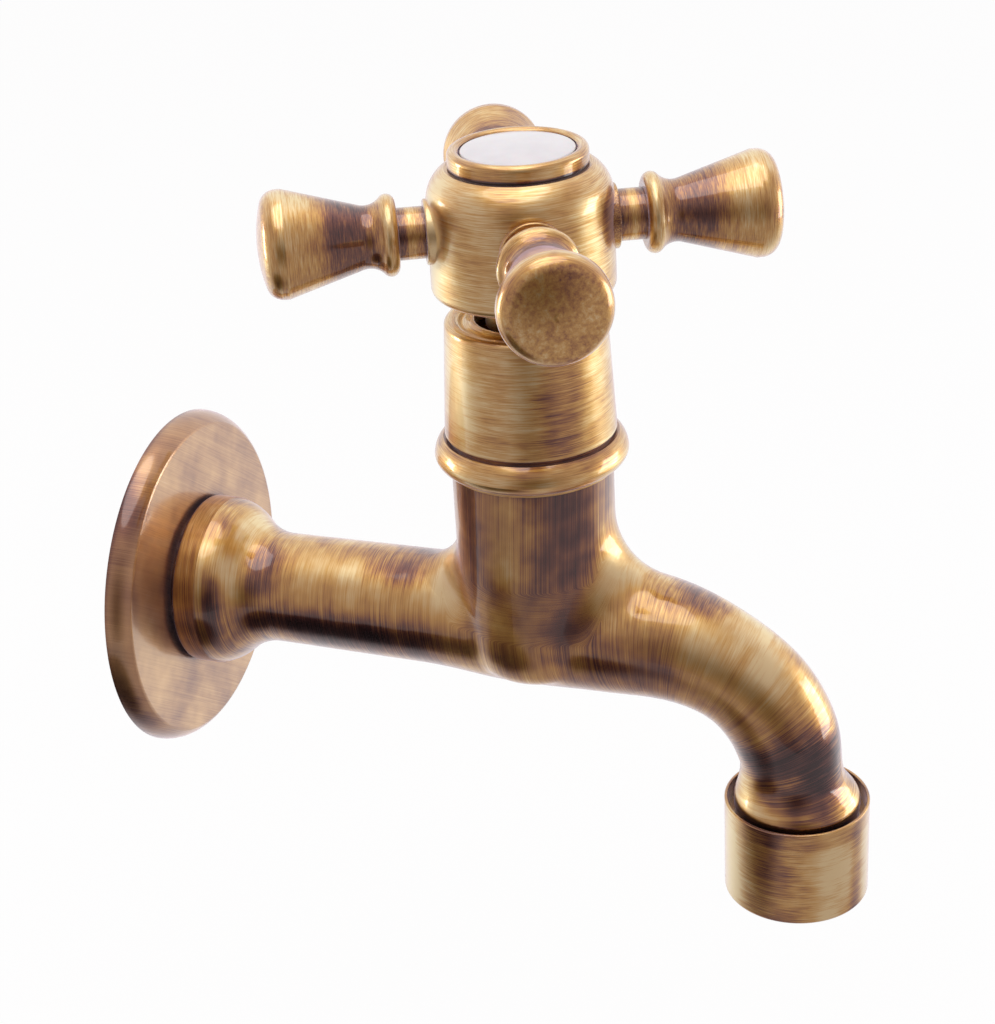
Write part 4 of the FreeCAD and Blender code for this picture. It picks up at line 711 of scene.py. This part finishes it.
class BASINTAP_OT_studio(bpy.types.Operator):
    """Set the floor, the lamps, the surroundings and the camera"""
    bl_idname = "basintap.studio"
    bl_label = "White studio"

    def execute(self, context):
        sizes = context.scene.basin_tap_studio
        self.floor(sizes)
        self.surroundings(context.scene)
        self.lamps(sizes)
        self.camera(context.scene)
        context.scene.view_settings.view_transform = "Standard"
        return {"FINISHED"}

    def mirrored_floor(self, tree):
        """The floor's painted glow in the metal: bright behind the tap, dim in front and dark in a painted
        shadow.
        """
        place = add(tree, "ShaderNodeTexCoord").outputs["Object"]
        toward = add(tree, "ShaderNodeVectorMath", {0: place, 1: VIEWER_SIDE},
                     operation="DOT_PRODUCT").outputs["Value"]
        front = add(tree, "ShaderNodeMapRange", {"Value": toward, "From Min": -BORDER, "From Max": BORDER},
                    interpolation_type="SMOOTHSTEP").outputs[0]
        open_floor = add(tree, "ShaderNodeValToRGB", {"Fac": front},
                         stops=((0.0, FLOOR_BRIGHT), (1.0, FLOOR_DIM))).outputs["Color"]
        away = add(tree, "ShaderNodeVectorMath", {0: place, 1: SHADE_PLACE},
                   operation="DISTANCE").outputs["Value"]
        shade = add(tree, "ShaderNodeMapRange",
                    {"Value": away, "From Min": SHADE_RADIUS, "From Max": SHADE_RADIUS * SHADE_CORE},
                    interpolation_type="SMOOTHSTEP").outputs[0]
        shade = add(tree, "ShaderNodeMath", {0: shade, 1: front}, operation="MULTIPLY").outputs[0]
        return add(tree, "ShaderNodeMix",
                   {MIX_FACTOR: shade, MIX_FIRST: open_floor, MIX_SECOND: linear(SHADE_COLOUR)},
                   data_type="RGBA").outputs[MIX_RESULT]

    def floor(self, sizes):
        """Matt paint: a pale floor that the lens sees as white, with the tap's faint shadow."""
        material, tree = new_material("paint_matt_floor")
        matt = add(tree, "ShaderNodeBsdfDiffuse", {"Color": tuple(sizes.floor_colour)})
        white = add(tree, "ShaderNodeEmission", {"Color": (1, 1, 1, 1), "Strength": 1.0})
        # For reflections the floor glows in painted light, with a painted shadow.
        painted_floor_glow = add(tree, "ShaderNodeEmission", {"Color": self.mirrored_floor(tree), "Strength": 1.0})
        ray = add(tree, "ShaderNodeLightPath").outputs
        shown = add(tree, "ShaderNodeMath", {0: ray["Is Camera Ray"], 1: FLOOR_WHITE}, operation="MULTIPLY")
        seen = add(tree, "ShaderNodeMath", {0: ray["Is Glossy Ray"], 1: ray["Is Transmission Ray"]},
                   operation="MAXIMUM")
        plain = add(tree, "ShaderNodeMixShader",
                    {0: shown.outputs[0], 1: matt.outputs[0], 2: white.outputs[0]})
        mixed = add(tree, "ShaderNodeMixShader",
                    {0: seen.outputs[0], 1: plain.outputs[0], 2: painted_floor_glow.outputs[0]})
        add(tree, "ShaderNodeOutputMaterial", {"Surface": mixed.outputs[0]})
        side = Vector((-VIEWER_SIDE.y, VIEWER_SIDE.x, 0)) * FLOOR_REACH
        centre = COLUMN - UP * sizes.floor_drop
        near = centre + VIEWER_SIDE * FLOOR_FRONT
        far = centre - VIEWER_SIDE * FLOOR_REACH
        card("floor", material, [near + side, near - side, far - side, far + side])

    def surroundings(self, scene):
        """White behind the tap for the lens and the metal, and a dim room on the viewer's side."""
        world = bpy.data.worlds.new("studio_room")
        world.use_nodes = True
        tree = world.node_tree
        tree.nodes.clear()
        direction = add(tree, "ShaderNodeTexCoord").outputs["Generated"]
        facing = add(tree, "ShaderNodeVectorMath", {0: direction, 1: VIEWER_SIDE},
                     operation="DOT_PRODUCT").outputs["Value"]
        share = add(tree, "ShaderNodeMapRange",
                    {"Value": facing, "From Min": -1.0, "From Max": 1.0}).outputs[0]
        room = add(tree, "ShaderNodeValToRGB", {"Fac": share}, stops=ROOM).outputs["Color"]
        dim = add(tree, "ShaderNodeBackground", {"Color": room, "Strength": 1.0})
        white = add(tree, "ShaderNodeBackground", {"Color": (1, 1, 1, 1), "Strength": 1.0})
        seen = add(tree, "ShaderNodeLightPath").outputs["Is Camera Ray"]
        mixed = add(tree, "ShaderNodeMixShader", {0: seen, 1: dim.outputs[0], 2: white.outputs[0]})
        add(tree, "ShaderNodeOutputWorld", {"Surface": mixed.outputs[0]})
        scene.world = world

    def lamps(self, sizes):
        """A large softbox overhead, a narrow window on the left and a wider softbox on the right."""
        softbox("overhead_softbox", TAP_MIDDLE + OVERHEAD_PLACE, OVERHEAD_SIZE, sizes.overhead_power,
                "ELLIPSE")
        softbox("left_window", TAP_MIDDLE + WINDOW_PLACE, WINDOW_SIZE, sizes.window_power)
        softbox("right_softbox", TAP_MIDDLE + SIDE_PLACE, SIDE_SIZE, sizes.side_power)

    def camera(self, scene):
        """A long lens that looks down on the tap from its left front."""
        lens = bpy.data.cameras.new("camera")
        lens.sensor_width = SENSOR
        lens.sensor_fit = "AUTO"
        lens.lens = FOCAL_PIXELS / PICTURE_HEIGHT * SENSOR
        lens.clip_start = 0.01
        thing = bpy.data.objects.new("camera", lens)
        bpy.context.collection.objects.link(thing)
        turn = Matrix((CAMERA_RIGHT, CAMERA_UP, CAMERA_BACK)).transposed().to_4x4()
        thing.matrix_world = Matrix.Translation(CAMERA_PLACE) @ turn
        scene.camera = thing


STEPS = (
    BASINTAP_OT_cast_body,
    BASINTAP_OT_wall_rosette,
    BASINTAP_OT_column_trim,
    BASINTAP_OT_handle,
    BASINTAP_OT_index,
    BASINTAP_OT_aerator,
    BASINTAP_OT_headwork,
    BASINTAP_OT_studio,
)


class BASINTAP_PT_panel(bpy.types.Panel):
    """Steps that finish the basin tap"""
    bl_idname = "BASINTAP_PT_panel"
    bl_label = "Basin Tap"
    bl_space_type = "VIEW_3D"
    bl_region_type = "UI"
    bl_category = "Basin Tap"

    def draw(self, context):
        for step in STEPS:
            self.layout.operator(step.bl_idname)


CLASSES = (BrassFinish, StudioSizes) + STEPS + (BASINTAP_PT_panel,)


def register():
    for item in CLASSES:
        bpy.utils.register_class(item)
    bpy.types.Scene.basin_tap_brass = PointerProperty(type=BrassFinish)
    bpy.types.Scene.basin_tap_studio = PointerProperty(type=StudioSizes)


def unregister():
    del bpy.types.Scene.basin_tap_studio
    del bpy.types.Scene.basin_tap_brass
    for item in reversed(CLASSES):
        bpy.utils.unregister_class(item)


def plain(box):
    return [[float(value) for value in corner] for corner in box]


def main():
    register()
    for step in STEPS:
        family, action = step.bl_idname.split(".")
        getattr(getattr(bpy.ops, family), action)()


if __name__ == "__main__":
    main()
